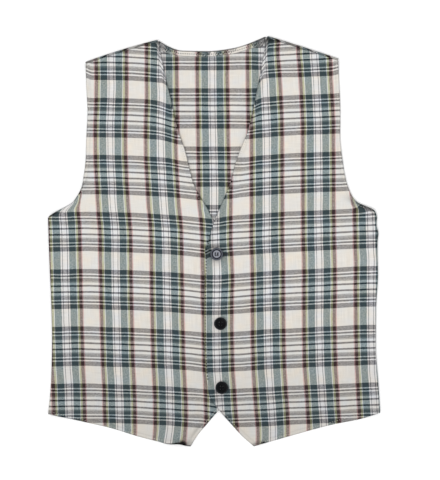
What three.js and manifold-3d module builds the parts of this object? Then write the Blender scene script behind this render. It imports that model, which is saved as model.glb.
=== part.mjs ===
import * as THREE from 'three';
import { mergeVertices } from 'three/addons/utils/BufferGeometryUtils.js';
import Module from 'manifold-3d';

// A checked suit waistcoat laid flat on its back: one back, two fronts buttoned left over right with a
// deep V neck and pointed hems, a turned band along the back neck, and three sewn-through buttons.
// Millimetres. X runs to the viewer's right, Y from hem to neck, Z up from the surface it lies on.

// Cloth and the way its layers lie
const CLOTH = 1.0;
const GAP = 0.3;
const FOLD_RADIUS = 1.6;
const SIDE_TURN_UNDER = 4.0;
const SHOULDER_TURN_OVER = 2.0;

const HALF_CLOTH = CLOTH / 2;
const LAYER = CLOTH + GAP;
const BACK_HEIGHT = HALF_CLOTH;
const FRONT_HEIGHT = BACK_HEIGHT + LAYER;
const FOLD_HEIGHT = BACK_HEIGHT + 2 * FOLD_RADIUS;
const FOLD_RISE = FOLD_HEIGHT - FRONT_HEIGHT;
const FOLD_INSET = HALF_CLOTH + FOLD_RADIUS;
const BACK_SIDE_INSET = FOLD_INSET + SIDE_TURN_UNDER + GAP;
const SHOULDER_SEAM_INSET = FOLD_INSET + SHOULDER_TURN_OVER + GAP;

// How far each soft change of height reaches
const FOLD_REACH = 20;
const UNDERARM_REACH = 26;
const LAP_CLEARANCE = 6;
const LAP_SPREAD = 12;
const LAP_REACH = 14;
const HEM_CLEARANCE = 5;
const HEM_REACH = 14;
const V_EDGE_LIFT = 1.1;
const V_EDGE_REACH = 10;
const V_LIFT_START = 40;
const V_LIFT_FULL = 75;

// Outline of each half. x is the distance from the centre line towards that half's own side, so a front
// that laps past the centre has a negative x; y is the height above the middle of the whole length.
const RIGHT_HALF = {
  sign: -1,
  side: [
    { y: -245, x: 235.5 }, { y: -209, x: 232 }, { y: -140, x: 230 },
    { y: -84, x: 231.3 }, { y: -21, x: 234.1 }, { y: 33.4, x: 235.8 },
  ],
  armhole: [
    { y: 33.4, x: 235.8 }, { y: 38.3, x: 232.6 }, { y: 46.9, x: 214.2 }, { y: 55.4, x: 201.4 },
    { y: 72.4, x: 190.1 }, { y: 89.5, x: 185.8 }, { y: 115, x: 182.2 }, { y: 149, x: 181.1 },
    { y: 183, x: 179.4 }, { y: 226, x: 181.5 }, { y: 256.3, x: 182 },
  ],
  frontEdge: [
    { y: -291.8, x: 33.2 }, { y: -277, x: 24 }, { y: -260, x: 9.7 }, { y: -240, x: -7.3 },
    { y: -221.5, x: -24.4 }, { y: -203, x: -31.5 }, { y: -12.8, x: -31.5 }, { y: 1.4, x: -21.5 },
    { y: 21.3, x: -8.7 }, { y: 31.2, x: 1.2 }, { y: 46.1, x: 9.2 }, { y: 60.8, x: 18 },
    { y: 78.7, x: 27.8 }, { y: 101.5, x: 34.3 }, { y: 127.8, x: 40.8 }, { y: 158.3, x: 51 },
    { y: 186.6, x: 57.6 }, { y: 232.2, x: 68.5 }, { y: 286.1, x: 79.3 },
  ],
  hemSag: 4.0,
  shoulderBow: 1.6,
};

const LEFT_HALF = {
  sign: 1,
  side: [
    { y: -241.4, x: 236.2 }, { y: -205, x: 233.8 }, { y: -149, x: 230 }, { y: -98, x: 230.3 },
    { y: -47, x: 233.1 }, { y: -13, x: 232.4 }, { y: 12.8, x: 233.7 }, { y: 27, x: 231.7 },
    { y: 41.2, x: 229.9 },
  ],
  armhole: [
    { y: 41.2, x: 229.9 }, { y: 46.9, x: 224.6 }, { y: 54.7, x: 205.4 }, { y: 63.9, x: 196.2 },
    { y: 72.4, x: 192.6 }, { y: 89.5, x: 187 }, { y: 115, x: 182.7 }, { y: 149, x: 179.3 },
    { y: 183, x: 179.6 }, { y: 214, x: 178.4 }, { y: 261.3, x: 176.3 },
  ],
  frontEdge: [
    { y: -291.8, x: 57 }, { y: -277, x: 40 }, { y: -260, x: 24.4 }, { y: -240, x: 7.3 },
    { y: -221.5, x: -5.5 }, { y: -203, x: -9.7 }, { y: -176, x: -12.6 }, { y: -119, x: -14 },
    { y: -12.8, x: -12.6 }, { y: 3.1, x: -6.9 }, { y: 24.1, x: -0.9 }, { y: 40, x: 5.6 },
    { y: 65.9, x: 16.5 }, { y: 83.9, x: 23.8 }, { y: 105.6, x: 29.2 }, { y: 128.5, x: 37.1 },
    { y: 158.3, x: 48.9 }, { y: 186.6, x: 55.5 }, { y: 234.4, x: 65.2 }, { y: 291.5, x: 75.5 },
  ],
  hemSag: 0,
  shoulderBow: 0.6,
};

// The back's neck edge from one neck point to the other, x and y as on the whole garment
const BACK_NECK = [
  { x: -79.3, y: 285.3 }, { x: -72.9, y: 280.9 }, { x: -59, y: 273.9 }, { x: -46, y: 270.3 },
  { x: -10, y: 269.5 }, { x: 17, y: 272 }, { x: 36, y: 275.8 }, { x: 49, y: 280.2 },
  { x: 61.4, y: 285.3 }, { x: 75.5, y: 291.5 },
];
const NECK_POINT_REACH = 6;
const BACK_HEM_RISE = 9.5;
const CHEST_Y = 33;

// A sag of across squared times what is left peaks two thirds of the way, at this share of its depth
const SAG_PEAK = 4 / 27;

// Soft ridges the fronts keep from lying folded: middle, direction, half length, half width and height
const SWELLS = [
  { x: -128, y: -150, degrees: 82, length: 80, width: 16, height: 0.9 },
  { x: -196, y: -52, degrees: 64, length: 58, width: 13, height: 1.2 },
  { x: -150, y: 108, degrees: 104, length: 60, width: 15, height: 1.0 },
  { x: -92, y: -232, degrees: 96, length: 44, width: 14, height: 1.1 },
  { x: -56, y: -290, degrees: 8, length: 30, width: 13, height: 3.0 },
  { x: -62, y: 30, degrees: 58, length: 60, width: 15, height: 0.8 },
  { x: 96, y: -70, degrees: 97, length: 90, width: 17, height: 0.9 },
  { x: 186, y: -146, degrees: 112, length: 62, width: 14, height: 1.2 },
  { x: 160, y: 84, degrees: 72, length: 52, width: 14, height: 1.0 },
  { x: 214, y: 4, degrees: 20, length: 22, width: 7, height: 1.3 },
  { x: 212, y: -24, degrees: -12, length: 24, width: 6, height: 1.1 },
  { x: 74, y: -262, degrees: 60, length: 34, width: 12, height: 1.2 },
];

// Turned band on the back neck
const BAND = {
  start: -77.6, end: 73.6, lowerInset: 4.2, width: 6.5, endWidth: 11.5, endReach: 24, lump: 1.7,
};

// Buttons: where each sits on the top front, and the mould they share
const BUTTONS = [
  { name: 'button_top', x: 4.0, y: -18.6, material: 'paleButton' },
  { name: 'button_middle', x: 9.3, y: -117.2, material: 'darkButton' },
  { name: 'button_bottom', x: 11.2, y: -208, material: 'darkButton' },
];
const BUTTON_RADIUS = 9.0;
const BUTTON_HEIGHT = 3.2;
const BUTTON_EDGE = 0.8;
const RIM_INNER_RADIUS = 6.9;
const DISH_RADIUS = 5.6;
const DISH_DEPTH = 1.1;
const HOLE_RADIUS = 0.8;
const HOLE_OFFSET = 1.6;
const BUTTON_SIDES = 36;
const HOLE_SIDES = 10;

// How finely the panels are divided
const END_EASE = 0.45;
const UNDERARM_EASE = 1.35;
const ROWS_BELOW = 17;
const ROWS_ABOVE = 13;
const FRONT_COLUMNS = 18;
const SHOULDER_COLUMNS = 6;
const NECK_COLUMNS = 12;
const FOLD_STEPS = 5;
const BAND_COLUMNS = 22;
const BAND_ROWS = 4;

const MATERIALS = {
  cloth: new THREE.MeshStandardMaterial({ color: 0xa9aca8, roughness: 0.9, metalness: 0 }),
  paleButton: new THREE.MeshStandardMaterial({ color: 0x7a7d86, roughness: 0.35, metalness: 0 }),
  darkButton: new THREE.MeshStandardMaterial({ color: 0x1f2022, roughness: 0.35, metalness: 0 }),
};

const { lerp, clamp, degToRad } = THREE.MathUtils;

// A smooth curve through the rows of a table that never swings past them. Returns value as a function
// of key, for rows in rising order of key.
function curveThrough(rows, key, value) {
  const spans = rows.slice(1).map((row, i) => row[key] - rows[i][key]);
  const slopes = rows.slice(1).map((row, i) => (row[value] - rows[i][value]) / spans[i]);
  const tangents = rows.map((row, i) => {
    if (i === 0) {
      return slopes[0];
    }
    if (i === rows.length - 1) {
      return slopes[i - 1];
    }
    const [before, after] = [slopes[i - 1], slopes[i]];
    const mean = (before * spans[i] + after * spans[i - 1]) / (spans[i - 1] + spans[i]);
    const limit = Math.min(Math.abs(before), Math.abs(after), Math.abs(mean) / 2);
    return (Math.sign(before) + Math.sign(after)) * limit;
  });
  return (at) => {
    const t = clamp(at, rows[0][key], rows[rows.length - 1][key]);
    let i = 0;
    while (i < spans.length - 1 && t > rows[i + 1][key]) {
      i += 1;
    }
    const s = t - rows[i][key];
    const bend = (tangents[i] + tangents[i + 1] - 2 * slopes[i]) / spans[i] ** 2;
    const curl = (3 * slopes[i] - 2 * tangents[i] - tangents[i + 1]) / spans[i];
    return rows[i][value] + s * (tangents[i] + s * (curl + s * bend));
  };
}

// 1 at or before the start, falling softly to 0 at the end
function fall(t) {
  return 0.5 * (1 + Math.cos(Math.PI * clamp(t, 0, 1)));
}

// Two soft rises that meet without adding up past their common height
function joinRises(a, b, full) {
  return a + b - (a * b) / full;
}

// Everything that follows from one half's tables
function measureHalf(half) {
  const sideX = curveThrough(half.side, 'y', 'x');
  const armholeX = curveThrough(half.armhole, 'y', 'x');
  const edgeX = curveThrough(half.frontEdge, 'y', 'x');
  const hemCorner = half.side[0];
  const underarm = half.armhole[0];
  const tip = half.armhole[half.armhole.length - 1];
  const point = half.frontEdge[0];
  const neck = half.frontEdge[half.frontEdge.length - 1];
  const run = Math.hypot(tip.x - neck.x, neck.y - tip.y);
  const slope = { along: (tip.x - neck.x) / run, up: (neck.y - tip.y) / run };
  const shoulderY = (x, inset) => {
    const t = clamp((tip.x - x) / (tip.x - neck.x), 0, 1);
    const bow = half.shoulderBow * 4 * t * (1 - t);
    return lerp(tip.y, neck.y, t) + bow - inset / slope.along;
  };
  const rollTipY = shoulderY(tip.x, FOLD_INSET);
  const seamDrop = SHOULDER_SEAM_INSET / slope.along;
  return {
    ...half, sideX, armholeX, edgeX, shoulderY,
    hemCorner, underarm, tip, point, neck, slope, rollTipY, seamDrop,
  };
}

const rightHalf = measureHalf(RIGHT_HALF);
const leftHalf = measureHalf(LEFT_HALF);
const neckY = curveThrough(BACK_NECK, 'x', 'y');

function backHemY(x) {
  const t = clamp((x + rightHalf.hemCorner.x) / (rightHalf.hemCorner.x + leftHalf.hemCorner.x), 0, 1);
  return lerp(rightHalf.hemCorner.y, leftHalf.hemCorner.y, t) + BACK_HEM_RISE * 4 * t * (1 - t);
}

function swellHeight(x, y) {
  return SWELLS.reduce((sum, swell) => {
    const angle = degToRad(swell.degrees);
    const along = (x - swell.x) * Math.cos(angle) + (y - swell.y) * Math.sin(angle);
    const across = (y - swell.y) * Math.cos(angle) - (x - swell.x) * Math.sin(angle);
    return sum + swell.height * Math.exp(-((along / swell.length) ** 2) - (across / swell.width) ** 2);
  }, 0);
}

// Height of the middle of a front's cloth, at x, y on the whole garment
function frontHeight(half, x, y) {
  const outward = x * half.sign;
  const onSide = y <= half.underarm.y;
  const foldX = (onSide ? half.sideX(y) : half.underarm.x) - FOLD_INSET;
  const fromFold = fall((foldX - outward) / FOLD_REACH);
  const besideFold = fromFold * fall((y - half.underarm.y) / UNDERARM_REACH);
  const underShoulder = fall((half.shoulderY(outward, SHOULDER_SEAM_INSET) - y) / FOLD_REACH);
  const rise = FOLD_RISE * joinRises(besideFold, underShoulder, 1);
  const offHem = 1 - fall((backHemY(x) - y - HEM_CLEARANCE) / HEM_REACH);
  const drop = LAYER * offHem * (1 - besideFold);
  const vLift = 1 - fall((y - V_LIFT_START) / (V_LIFT_FULL - V_LIFT_START));
  const atEdge = fall((outward - half.edgeX(y)) / V_EDGE_REACH);
  const quiet = (1 - besideFold) * (1 - underShoulder);
  return FRONT_HEIGHT + rise - drop + V_EDGE_LIFT * vLift * atEdge * (1 - underShoulder)
    + swellHeight(x, y) * quiet;
}

// The left front lies over the right one wherever that reaches, and a little way round it
function lapHeight(x, y) {
  const rightEdge = -Math.min(rightHalf.edgeX(y - LAP_SPREAD), rightHalf.edgeX(y + LAP_SPREAD));
  return LAYER * fall((x - rightEdge - LAP_CLEARANCE) / LAP_REACH);
}

// Level runs 0 at the hem, 1 at the chest and 2 at the shoulder
function levelY(level, hem, chest, shoulder) {
  return level <= 1 ? lerp(hem, chest, level) : lerp(chest, shoulder, level - 1);
}

// A point of a front. Across runs 0 at the side to 1 at the front edge.
function frontPoint(half, isTop, across, level) {
  const sideY = levelY(level, half.hemCorner.y, half.underarm.y, half.tip.y - half.seamDrop);
  const edgeY = levelY(level, half.point.y, CHEST_Y, half.neck.y - half.seamDrop);
  const sideX = level <= 1 ? half.sideX(sideY) - FOLD_INSET : half.armholeX(sideY);
  const outward = lerp(sideX, half.edgeX(edgeY), across);
  const hemPull = (Math.max(0, 1 - level) * half.hemSag * across ** 2 * (1 - across)) / SAG_PEAK;
  const bow = Math.max(0, level - 1) * half.shoulderBow * 4 * across * (1 - across);
  const x = outward * half.sign;
  const y = lerp(sideY, edgeY, across) - hemPull + bow;
  const z = frontHeight(half, x, y) + (isTop ? lapHeight(x, y) : 0);
  return new THREE.Vector3(x, y, z);
}

// A point of the roll round a fold. Turn runs 0 on the flat side, through the fold's 180 degrees, then on
// along the other side for the given length; outwardX and outwardY point out of the garment.
function rollPoint(start, outwardX, outwardY, turn, fromBelow, length) {
  const angle = Math.PI * Math.min(turn, 1);
  const past = Math.max(0, turn - 1) * length;
  const reach = FOLD_RADIUS * Math.sin(angle) - past;
  const lift = FOLD_RADIUS * (1 - Math.cos(angle)) * (fromBelow ? 1 : -1);
  return new THREE.Vector3(start.x + outwardX * reach, start.y + outwardY * reach, start.z + lift);
}

// Closed cloth wall round a grid of middle points. Cells outside isCloth are left open, and the wall
// gets an edge all round what is left.
function clothWall(grid, isCloth, facesUp, thickness = CLOTH) {
  const columns = grid.length;
  const rows = grid[0].length;
  const hasCell = (i, j) => i >= 0 && j >= 0 && i < columns - 1 && j < rows - 1 && isCloth(i, j);
  const isUsed = (i, j) => hasCell(i, j) || hasCell(i - 1, j) || hasCell(i, j - 1) || hasCell(i - 1, j - 1);
  const near = (i, j, di, dj) => {
    const [a, b] = [i + di, j + dj];
    const joined = di !== 0
      ? hasCell(Math.min(i, a), j) || hasCell(Math.min(i, a), j - 1)
      : hasCell(i, Math.min(j, b)) || hasCell(i - 1, Math.min(j, b));
    return joined ? grid[a][b] : grid[i][j];
  };
  const positions = [];
  const outer = new Map();
  const add = (point) => positions.push(point.x, point.y, Math.max(0, point.z)) / 3 - 1;
  for (let i = 0; i < columns; i += 1) {
    for (let j = 0; j < rows; j += 1) {
      if (isUsed(i, j)) {
        const alongColumns = near(i, j, 1, 0).clone().sub(near(i, j, -1, 0));
        const alongRows = near(i, j, 0, 1).clone().sub(near(i, j, 0, -1));
        const normal = alongColumns.cross(alongRows).normalize().multiplyScalar(facesUp ? 1 : -1);
        outer.set(i * rows + j, add(grid[i][j].clone().addScaledVector(normal, thickness / 2)));
        add(grid[i][j].clone().addScaledVector(normal, -thickness / 2));
      }
    }
  }
  const triangles = [];
  const quad = (a, b, c, d) => {
    const [second, fourth] = facesUp ? [b, d] : [d, b];
    triangles.push(a, second, c, a, c, fourth);
  };
  for (let i = 0; i < columns - 1; i += 1) {
    for (let j = 0; j < rows - 1; j += 1) {
      if (hasCell(i, j)) {
        const corners = [[i, j], [i + 1, j], [i + 1, j + 1], [i, j + 1]];
        const [a, b, c, d] = corners.map(([p, q]) => outer.get(p * rows + q));
        quad(a, b, c, d);
        quad(a + 1, d + 1, c + 1, b + 1);
        if (!hasCell(i, j - 1)) {
          quad(a + 1, b + 1, b, a);
        }
        if (!hasCell(i + 1, j)) {
          quad(b + 1, c + 1, c, b);
        }
        if (!hasCell(i, j + 1)) {
          quad(c + 1, d + 1, d, c);
        }
        if (!hasCell(i - 1, j)) {
          quad(d + 1, a + 1, a, d);
        }
      }
    }
  }
  const geometry = new THREE.BufferGeometry();
  geometry.setAttribute('position', new THREE.Float32BufferAttribute(positions, 3));
  geometry.setIndex(triangles);
  geometry.computeVertexNormals();
  return geometry;
}

function addMesh(group, name, geometry, material) {
  const mesh = new THREE.Mesh(geometry, material);
  mesh.name = name;
  group.add(mesh);
  return mesh;
}

// Shares of a length that stand closer together towards both ends
function easedShares(count) {
  return Array.from({ length: count + 1 }, (_, i) => {
    const t = i / count;
    return t - (END_EASE * Math.sin(2 * Math.PI * t)) / (2 * Math.PI);
  });
}

// Levels of the grid's rows, closer together at the hem and round the underarm
function rowLevels() {
  const below = easedShares(ROWS_BELOW).slice(0, -1);
  const above = Array.from({ length: ROWS_ABOVE + 1 }, (_, j) => 1 + (j / ROWS_ABOVE) ** UNDERARM_EASE);
  return [...below, ...above];
}

// Turns of the columns or rows that go round a fold, from its far edge back to where the panel starts
function foldTurns() {
  const round = Array.from({ length: FOLD_STEPS }, (_, k) => 1 - k / FOLD_STEPS);
  return [2, 1.5, ...round];
}

// A front: the panel from front edge to side, and the cloth that goes on round the side fold to the
// side seam on the underside. The fold stops at the underarm.
function frontGeometry(half, isTop) {
  const levels = rowLevels();
  const shares = easedShares(FRONT_COLUMNS);
  const turns = foldTurns();
  const panel = shares.map((across) => levels.map((level) => frontPoint(half, isTop, across, level)));
  const fold = turns.map((turn) => panel[0].map((start, j) => (
    levels[j] <= 1 ? rollPoint(start, half.sign, 0, turn, false, SIDE_TURN_UNDER) : start)));
  const isCloth = (i, j) => i >= turns.length || j < ROWS_BELOW;
  return clothWall([...fold, ...panel], isCloth, half.sign < 0);
}

// Outward reach of the back: short of the side fold, then out to the armhole
function backReach(half, y) {
  const side = half.sideX(Math.min(y, half.underarm.y)) - BACK_SIDE_INSET;
  return y <= half.underarm.y ? side : Math.min(side, half.armholeX(y));
}

// Top edge of the back at x: both shoulders up to the start of their roll, with the neck between
function backTopY(x) {
  if (x <= -rightHalf.neck.x) {
    return rightHalf.shoulderY(-x, FOLD_INSET);
  }
  if (x >= leftHalf.neck.x) {
    return leftHalf.shoulderY(x, FOLD_INSET);
  }
  const nearest = Math.min(x + rightHalf.neck.x, leftHalf.neck.x - x);
  const atNeckPoint = fall(nearest / NECK_POINT_REACH);
  const shoulder = x < 0 ? rightHalf.shoulderY(rightHalf.neck.x, FOLD_INSET)
    : leftHalf.shoulderY(leftHalf.neck.x, FOLD_INSET);
  return lerp(neckY(x), Math.min(shoulder, neckY(x)), atNeckPoint);
}

// A point of the back. Across runs 0 on the wearer's right to 1 on the left.
function backPoint(across, level) {
  const rightY = levelY(level, rightHalf.hemCorner.y, rightHalf.underarm.y, rightHalf.rollTipY);
  const leftY = levelY(level, leftHalf.hemCorner.y, leftHalf.underarm.y, leftHalf.rollTipY);
  const x = lerp(-backReach(rightHalf, rightY), backReach(leftHalf, leftY), across);
  const topX = lerp(-rightHalf.tip.x, leftHalf.tip.x, across);
  const straightTopY = lerp(rightHalf.rollTipY, leftHalf.rollTipY, across);
  const topShape = Math.max(0, level - 1) * (backTopY(topX) - straightTopY);
  const hemShape = Math.max(0, 1 - level) * BACK_HEM_RISE * 4 * across * (1 - across);
  return new THREE.Vector3(x, lerp(rightY, leftY, across) + topShape + hemShape, BACK_HEIGHT);
}

// The back: a flat panel whose shoulders roll up and forward to the seams with the fronts
function backGeometry() {
  const levels = rowLevels();
  const turns = foldTurns().reverse();
  const width = rightHalf.tip.x + leftHalf.tip.x;
  const neckStart = (rightHalf.tip.x - rightHalf.neck.x) / width;
  const neckEnd = (rightHalf.tip.x + leftHalf.neck.x) / width;
  const shares = [
    ...Array.from({ length: SHOULDER_COLUMNS }, (_, i) => (neckStart * i) / SHOULDER_COLUMNS),
    ...Array.from({ length: NECK_COLUMNS }, (_, i) => lerp(neckStart, neckEnd, i / NECK_COLUMNS)),
    ...Array.from({ length: SHOULDER_COLUMNS + 1 }, (_, i) => lerp(neckEnd, 1, i / SHOULDER_COLUMNS)),
  ];
  const grid = shares.map((across) => {
    const panel = levels.map((level) => backPoint(across, level));
    const half = across < 0.5 ? rightHalf : leftHalf;
    const start = panel[panel.length - 1];
    const roll = turns.map((turn) => rollPoint(start, half.sign * half.slope.up, half.slope.along,
      turn, true, SHOULDER_TURN_OVER));
    return [...panel, ...roll];
  });
  const lastFlatRow = levels.length - 1;
  const isNeck = (i) => i >= SHOULDER_COLUMNS && i < SHOULDER_COLUMNS + NECK_COLUMNS;
  return clothWall(grid, (i, j) => j < lastFlatRow || !isNeck(i), true);
}

// The turned band on the back neck: it follows the neck edge on top of the back, wider and thicker
// where the front edges' turnings run into it at the two neck points
function neckBandGeometry() {
  const shares = easedShares(BAND_COLUMNS);
  const grid = shares.map((share) => Array.from({ length: BAND_ROWS + 1 }, (_, j) => {
    const upper = lerp(BAND.start, BAND.end, share);
    const lower = lerp(BAND.start + BAND.lowerInset, BAND.end - BAND.lowerInset, share);
    const fromEnd = Math.min(upper - BAND.start, BAND.end - upper);
    const atEnd = fall(fromEnd / BAND.endReach);
    const down = 1 - j / BAND_ROWS;
    const x = lerp(upper, lower, down);
    const y = lerp(backTopY(upper), neckY(lower) - lerp(BAND.width, BAND.endWidth, atEnd), down);
    const roundness = 4 * down * (1 - down);
    return new THREE.Vector3(x, y, FRONT_HEIGHT + BAND.lump * atEnd * roundness);
  }));
  return clothWall(grid, () => true, true);
}

const wasm = await Module();
wasm.setup();

function toSolid(geometry) {
  const bare = geometry.clone();
  bare.deleteAttribute('normal');
  bare.deleteAttribute('uv');
  const merged = mergeVertices(bare, 1e-4);
  return new wasm.Manifold(new wasm.Mesh({
    numProp: 3,
    vertProperties: new Float32Array(merged.attributes.position.array),
    triVerts: new Uint32Array(merged.index.array),
  }));
}

function toGeometry(solid) {
  const mesh = solid.getMesh();
  const geometry = new THREE.BufferGeometry();
  geometry.setAttribute('position', new THREE.BufferAttribute(new Float32Array(mesh.vertProperties), 3));
  geometry.setIndex(new THREE.BufferAttribute(new Uint32Array(mesh.triVerts), 1));
  geometry.computeVertexNormals();
  return geometry;
}

// A sewn-through button with a raised rim, a dished middle and four holes, standing on its own base
function buttonGeometry() {
  const profile = [
    [0, 0], [BUTTON_RADIUS - 2 * BUTTON_EDGE, 0], [BUTTON_RADIUS - BUTTON_EDGE / 2, BUTTON_EDGE],
    [BUTTON_RADIUS, BUTTON_HEIGHT / 2], [BUTTON_RADIUS - BUTTON_EDGE / 2, BUTTON_HEIGHT - BUTTON_EDGE / 2],
    [BUTTON_RADIUS - BUTTON_EDGE, BUTTON_HEIGHT], [RIM_INNER_RADIUS, BUTTON_HEIGHT],
    [DISH_RADIUS, BUTTON_HEIGHT - DISH_DEPTH], [0, BUTTON_HEIGHT - DISH_DEPTH],
  ].map(([radius, height]) => new THREE.Vector2(radius, height));
  const body = new THREE.LatheGeometry(profile, BUTTON_SIDES);
  body.rotateX(Math.PI / 2);
  let solid = toSolid(body);
  for (const [right, up] of [[-1, -1], [-1, 1], [1, -1], [1, 1]]) {
    const hole = new THREE.CylinderGeometry(HOLE_RADIUS, HOLE_RADIUS, BUTTON_HEIGHT * 2, HOLE_SIDES);
    hole.rotateX(Math.PI / 2);
    hole.translate(right * HOLE_OFFSET, up * HOLE_OFFSET, BUTTON_HEIGHT / 2);
    solid = solid.subtract(toSolid(hole));
  }
  return toGeometry(solid);
}

// Top of the left front's cloth at x, y
function frontTop(x, y) {
  return frontHeight(leftHalf, x, y) + lapHeight(x, y) + HALF_CLOTH;
}

const waistcoat = new THREE.Group();
addMesh(waistcoat, 'back', backGeometry(), MATERIALS.cloth.clone());
addMesh(waistcoat, 'back_neck_hem', neckBandGeometry(), MATERIALS.cloth.clone());
addMesh(waistcoat, 'front_right', frontGeometry(rightHalf, false), MATERIALS.cloth.clone());
addMesh(waistcoat, 'front_left', frontGeometry(leftHalf, true), MATERIALS.cloth.clone());
for (const button of BUTTONS) {
  const mesh = addMesh(waistcoat, button.name, buttonGeometry(), MATERIALS[button.material].clone());
  mesh.position.set(button.x, button.y, frontTop(button.x, button.y) + GAP);
}

// The row's origin is the middle of the footprint, on the surface the garment lies on
const box = new THREE.Box3().setFromObject(waistcoat);
const middle = box.getCenter(new THREE.Vector3());
waistcoat.position.set(-middle.x, -middle.y, -box.min.z);

export default waistcoat;
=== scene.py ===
import math

import bpy
import numpy as np
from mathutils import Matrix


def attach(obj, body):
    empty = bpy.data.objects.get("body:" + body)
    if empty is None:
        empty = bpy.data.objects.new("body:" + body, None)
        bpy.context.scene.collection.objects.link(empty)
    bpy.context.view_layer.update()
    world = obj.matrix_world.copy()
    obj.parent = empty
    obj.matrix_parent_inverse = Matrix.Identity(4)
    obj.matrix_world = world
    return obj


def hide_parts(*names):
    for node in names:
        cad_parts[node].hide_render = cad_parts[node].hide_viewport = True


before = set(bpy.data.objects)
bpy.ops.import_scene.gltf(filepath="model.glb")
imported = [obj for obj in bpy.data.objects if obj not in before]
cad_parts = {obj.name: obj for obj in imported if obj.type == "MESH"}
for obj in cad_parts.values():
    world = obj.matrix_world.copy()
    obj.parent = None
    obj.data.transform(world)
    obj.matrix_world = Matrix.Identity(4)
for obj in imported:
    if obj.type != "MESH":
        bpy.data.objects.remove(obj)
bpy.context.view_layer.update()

# The garment lies on a pale table and is looked at from straight above, in soft even light that comes a
# little more from the lower left. The camera stands where one pixel of the photograph is 1.42 mm of cloth.
MM = 0.001
VIEW_CENTRE = (8.7 * MM, 1.4 * MM)
VIEW_HEIGHT = 1.612
VIEW_LENS = 85
VIEW_SENSOR = 36
SKY_STRENGTH = 0.98
SUN_STRENGTH = 0.84
SUN_WIDTH = math.radians(24)
SUN_TILT = (math.radians(24), math.radians(-26), 0)
TABLE_COLOUR = (0.965, 0.965, 0.965, 1)
TABLE_SIZE = 6.0
TABLE_ROUGHNESS = 0.9
TABLE_DROP = 0.3 * MM

scene = bpy.context.scene
scene.view_settings.view_transform = "Standard"


def put_in_scene(name, data):
    piece = bpy.data.objects.new(name, data)
    scene.collection.objects.link(piece)
    return piece


def new_finish(name):
    """A new material, its nodes and its shader."""
    material = bpy.data.materials.new(name)
    material.use_nodes = True
    return material, material.node_tree, material.node_tree.nodes["Principled BSDF"]


camera_data = bpy.data.cameras.new("camera")
camera_data.lens = VIEW_LENS
camera_data.sensor_width = VIEW_SENSOR
camera = put_in_scene("camera", camera_data)
camera.location = (*VIEW_CENTRE, VIEW_HEIGHT)
scene.camera = camera

world = bpy.data.worlds.new("studio")
world.use_nodes = True
world.node_tree.nodes["Background"].inputs["Color"].default_value = (1, 1, 1, 1)
world.node_tree.nodes["Background"].inputs["Strength"].default_value = SKY_STRENGTH
scene.world = world

sun_data = bpy.data.lights.new("window_light", "SUN")
sun_data.energy = SUN_STRENGTH
sun_data.angle = SUN_WIDTH
sun = put_in_scene("window_light", sun_data)
sun.rotation_euler = SUN_TILT

table_mesh = bpy.data.meshes.new("table")
table_corners = [(x * TABLE_SIZE / 2, y * TABLE_SIZE / 2, -TABLE_DROP) for x, y in
                 ((-1, -1), (1, -1), (1, 1), (-1, 1))]
table_mesh.from_pydata(table_corners, [], [(0, 1, 2, 3)])
table_finish, _, table_shader = new_finish("pale_table")
table_shader.inputs["Base Color"].default_value = TABLE_COLOUR
table_shader.inputs["Roughness"].default_value = TABLE_ROUGHNESS
table_shader.inputs["Specular IOR Level"].default_value = 0.0
table_mesh.materials.append(table_finish)
table = put_in_scene("table", table_mesh)

# The back is one piece of brushed cotton check, cut straight across the hem and hollowed at the neck. It
# lies flat on the table, wrong side up; its shoulders roll forward over the top to the seams with the
# fronts. The cloth is woven from dyed yarn in a wide check, two threads to the millimetre.
CLOTH = 0.9
GAP = 0.3
SOLID_CLOTH = 1.0
FOLD_RADIUS = 1.6
SIDE_TURN_UNDER = 4.0
SHOULDER_TURN_OVER = 0.8
BACK_HEIGHT = 0.5
FOLD_INSET = SOLID_CLOTH / 2 + FOLD_RADIUS
BACK_SIDE_INSET = FOLD_INSET + SIDE_TURN_UNDER + GAP
SHOULDER_SEAM_INSET = FOLD_INSET + SHOULDER_TURN_OVER + GAP
BACK_HEM_RISE = 9.5
NECK_POINT_REACH = 6.0
SEAM_DIP = 0.35
# Painted shade on the rounded edges of the cloth, which turn away from the light.
RIM_PAINTED_SHADE = 0.5
EDGE_ROUND = 0.35
FOLD_TURNS = np.concatenate([np.linspace(0.1, 1, 10), [1.5, 2.0]])
BACK_LOWER_ROWS, BACK_UPPER_ROWS, ROW_SPREAD = 84, 76, 1.25

# Outline tables in millimetres: sides, armholes and neck points as (y, x), with x measured outwards from
# the centre line, and the back neck as (x, y).
RIGHT_SIDE = [(-245, 235.5), (-209, 232), (-140, 230), (-84, 231.3), (-21, 234.1), (33.4, 235.8)]
RIGHT_ARMHOLE = [(33.4, 235.8), (38.6, 229.2), (43.3, 221.2), (50.0, 208.2), (54.8, 201.2), (61.6, 195.9),
                 (67.9, 191.9), (74, 188.9), (89.5, 185.5), (115, 182.2), (149, 181.1), (183, 179.4),
                 (226, 181.5), (254.6, 182)]
LEFT_SIDE = [(-241.4, 236.2), (-205, 233.8), (-149, 230), (-98, 230.3), (-47, 233.1), (-13, 232.4),
             (0, 232.6), (11, 233.8), (21.7, 231.2), (27.4, 231.2), (33, 231.9), (41.2, 229.9)]
LEFT_ARMHOLE = [(41.2, 229.9), (43, 228.3), (45.6, 224.6), (49.7, 215.6), (54.2, 205.2), (57.5, 201.2),
                (62.5, 197.3), (74.3, 191.6), (89.5, 187), (115, 182.7), (149, 179.3), (183, 179.6),
                (214, 178.4), (259.3, 176.3)]
RIGHT_NECK_POINT, RIGHT_SHOULDER_BOW = (286.1, 79.3), 1.6
LEFT_NECK_POINT, LEFT_SHOULDER_BOW = (291.5, 75.5), 0.6
BACK_NECK = [(-79.3, 285.3), (-72.9, 280.9), (-59, 273.9), (-46, 270.3), (-10, 269.5), (17, 272),
             (36, 275.8), (49, 280.2), (61.4, 285.3), (75.5, 291.5)]


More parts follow.
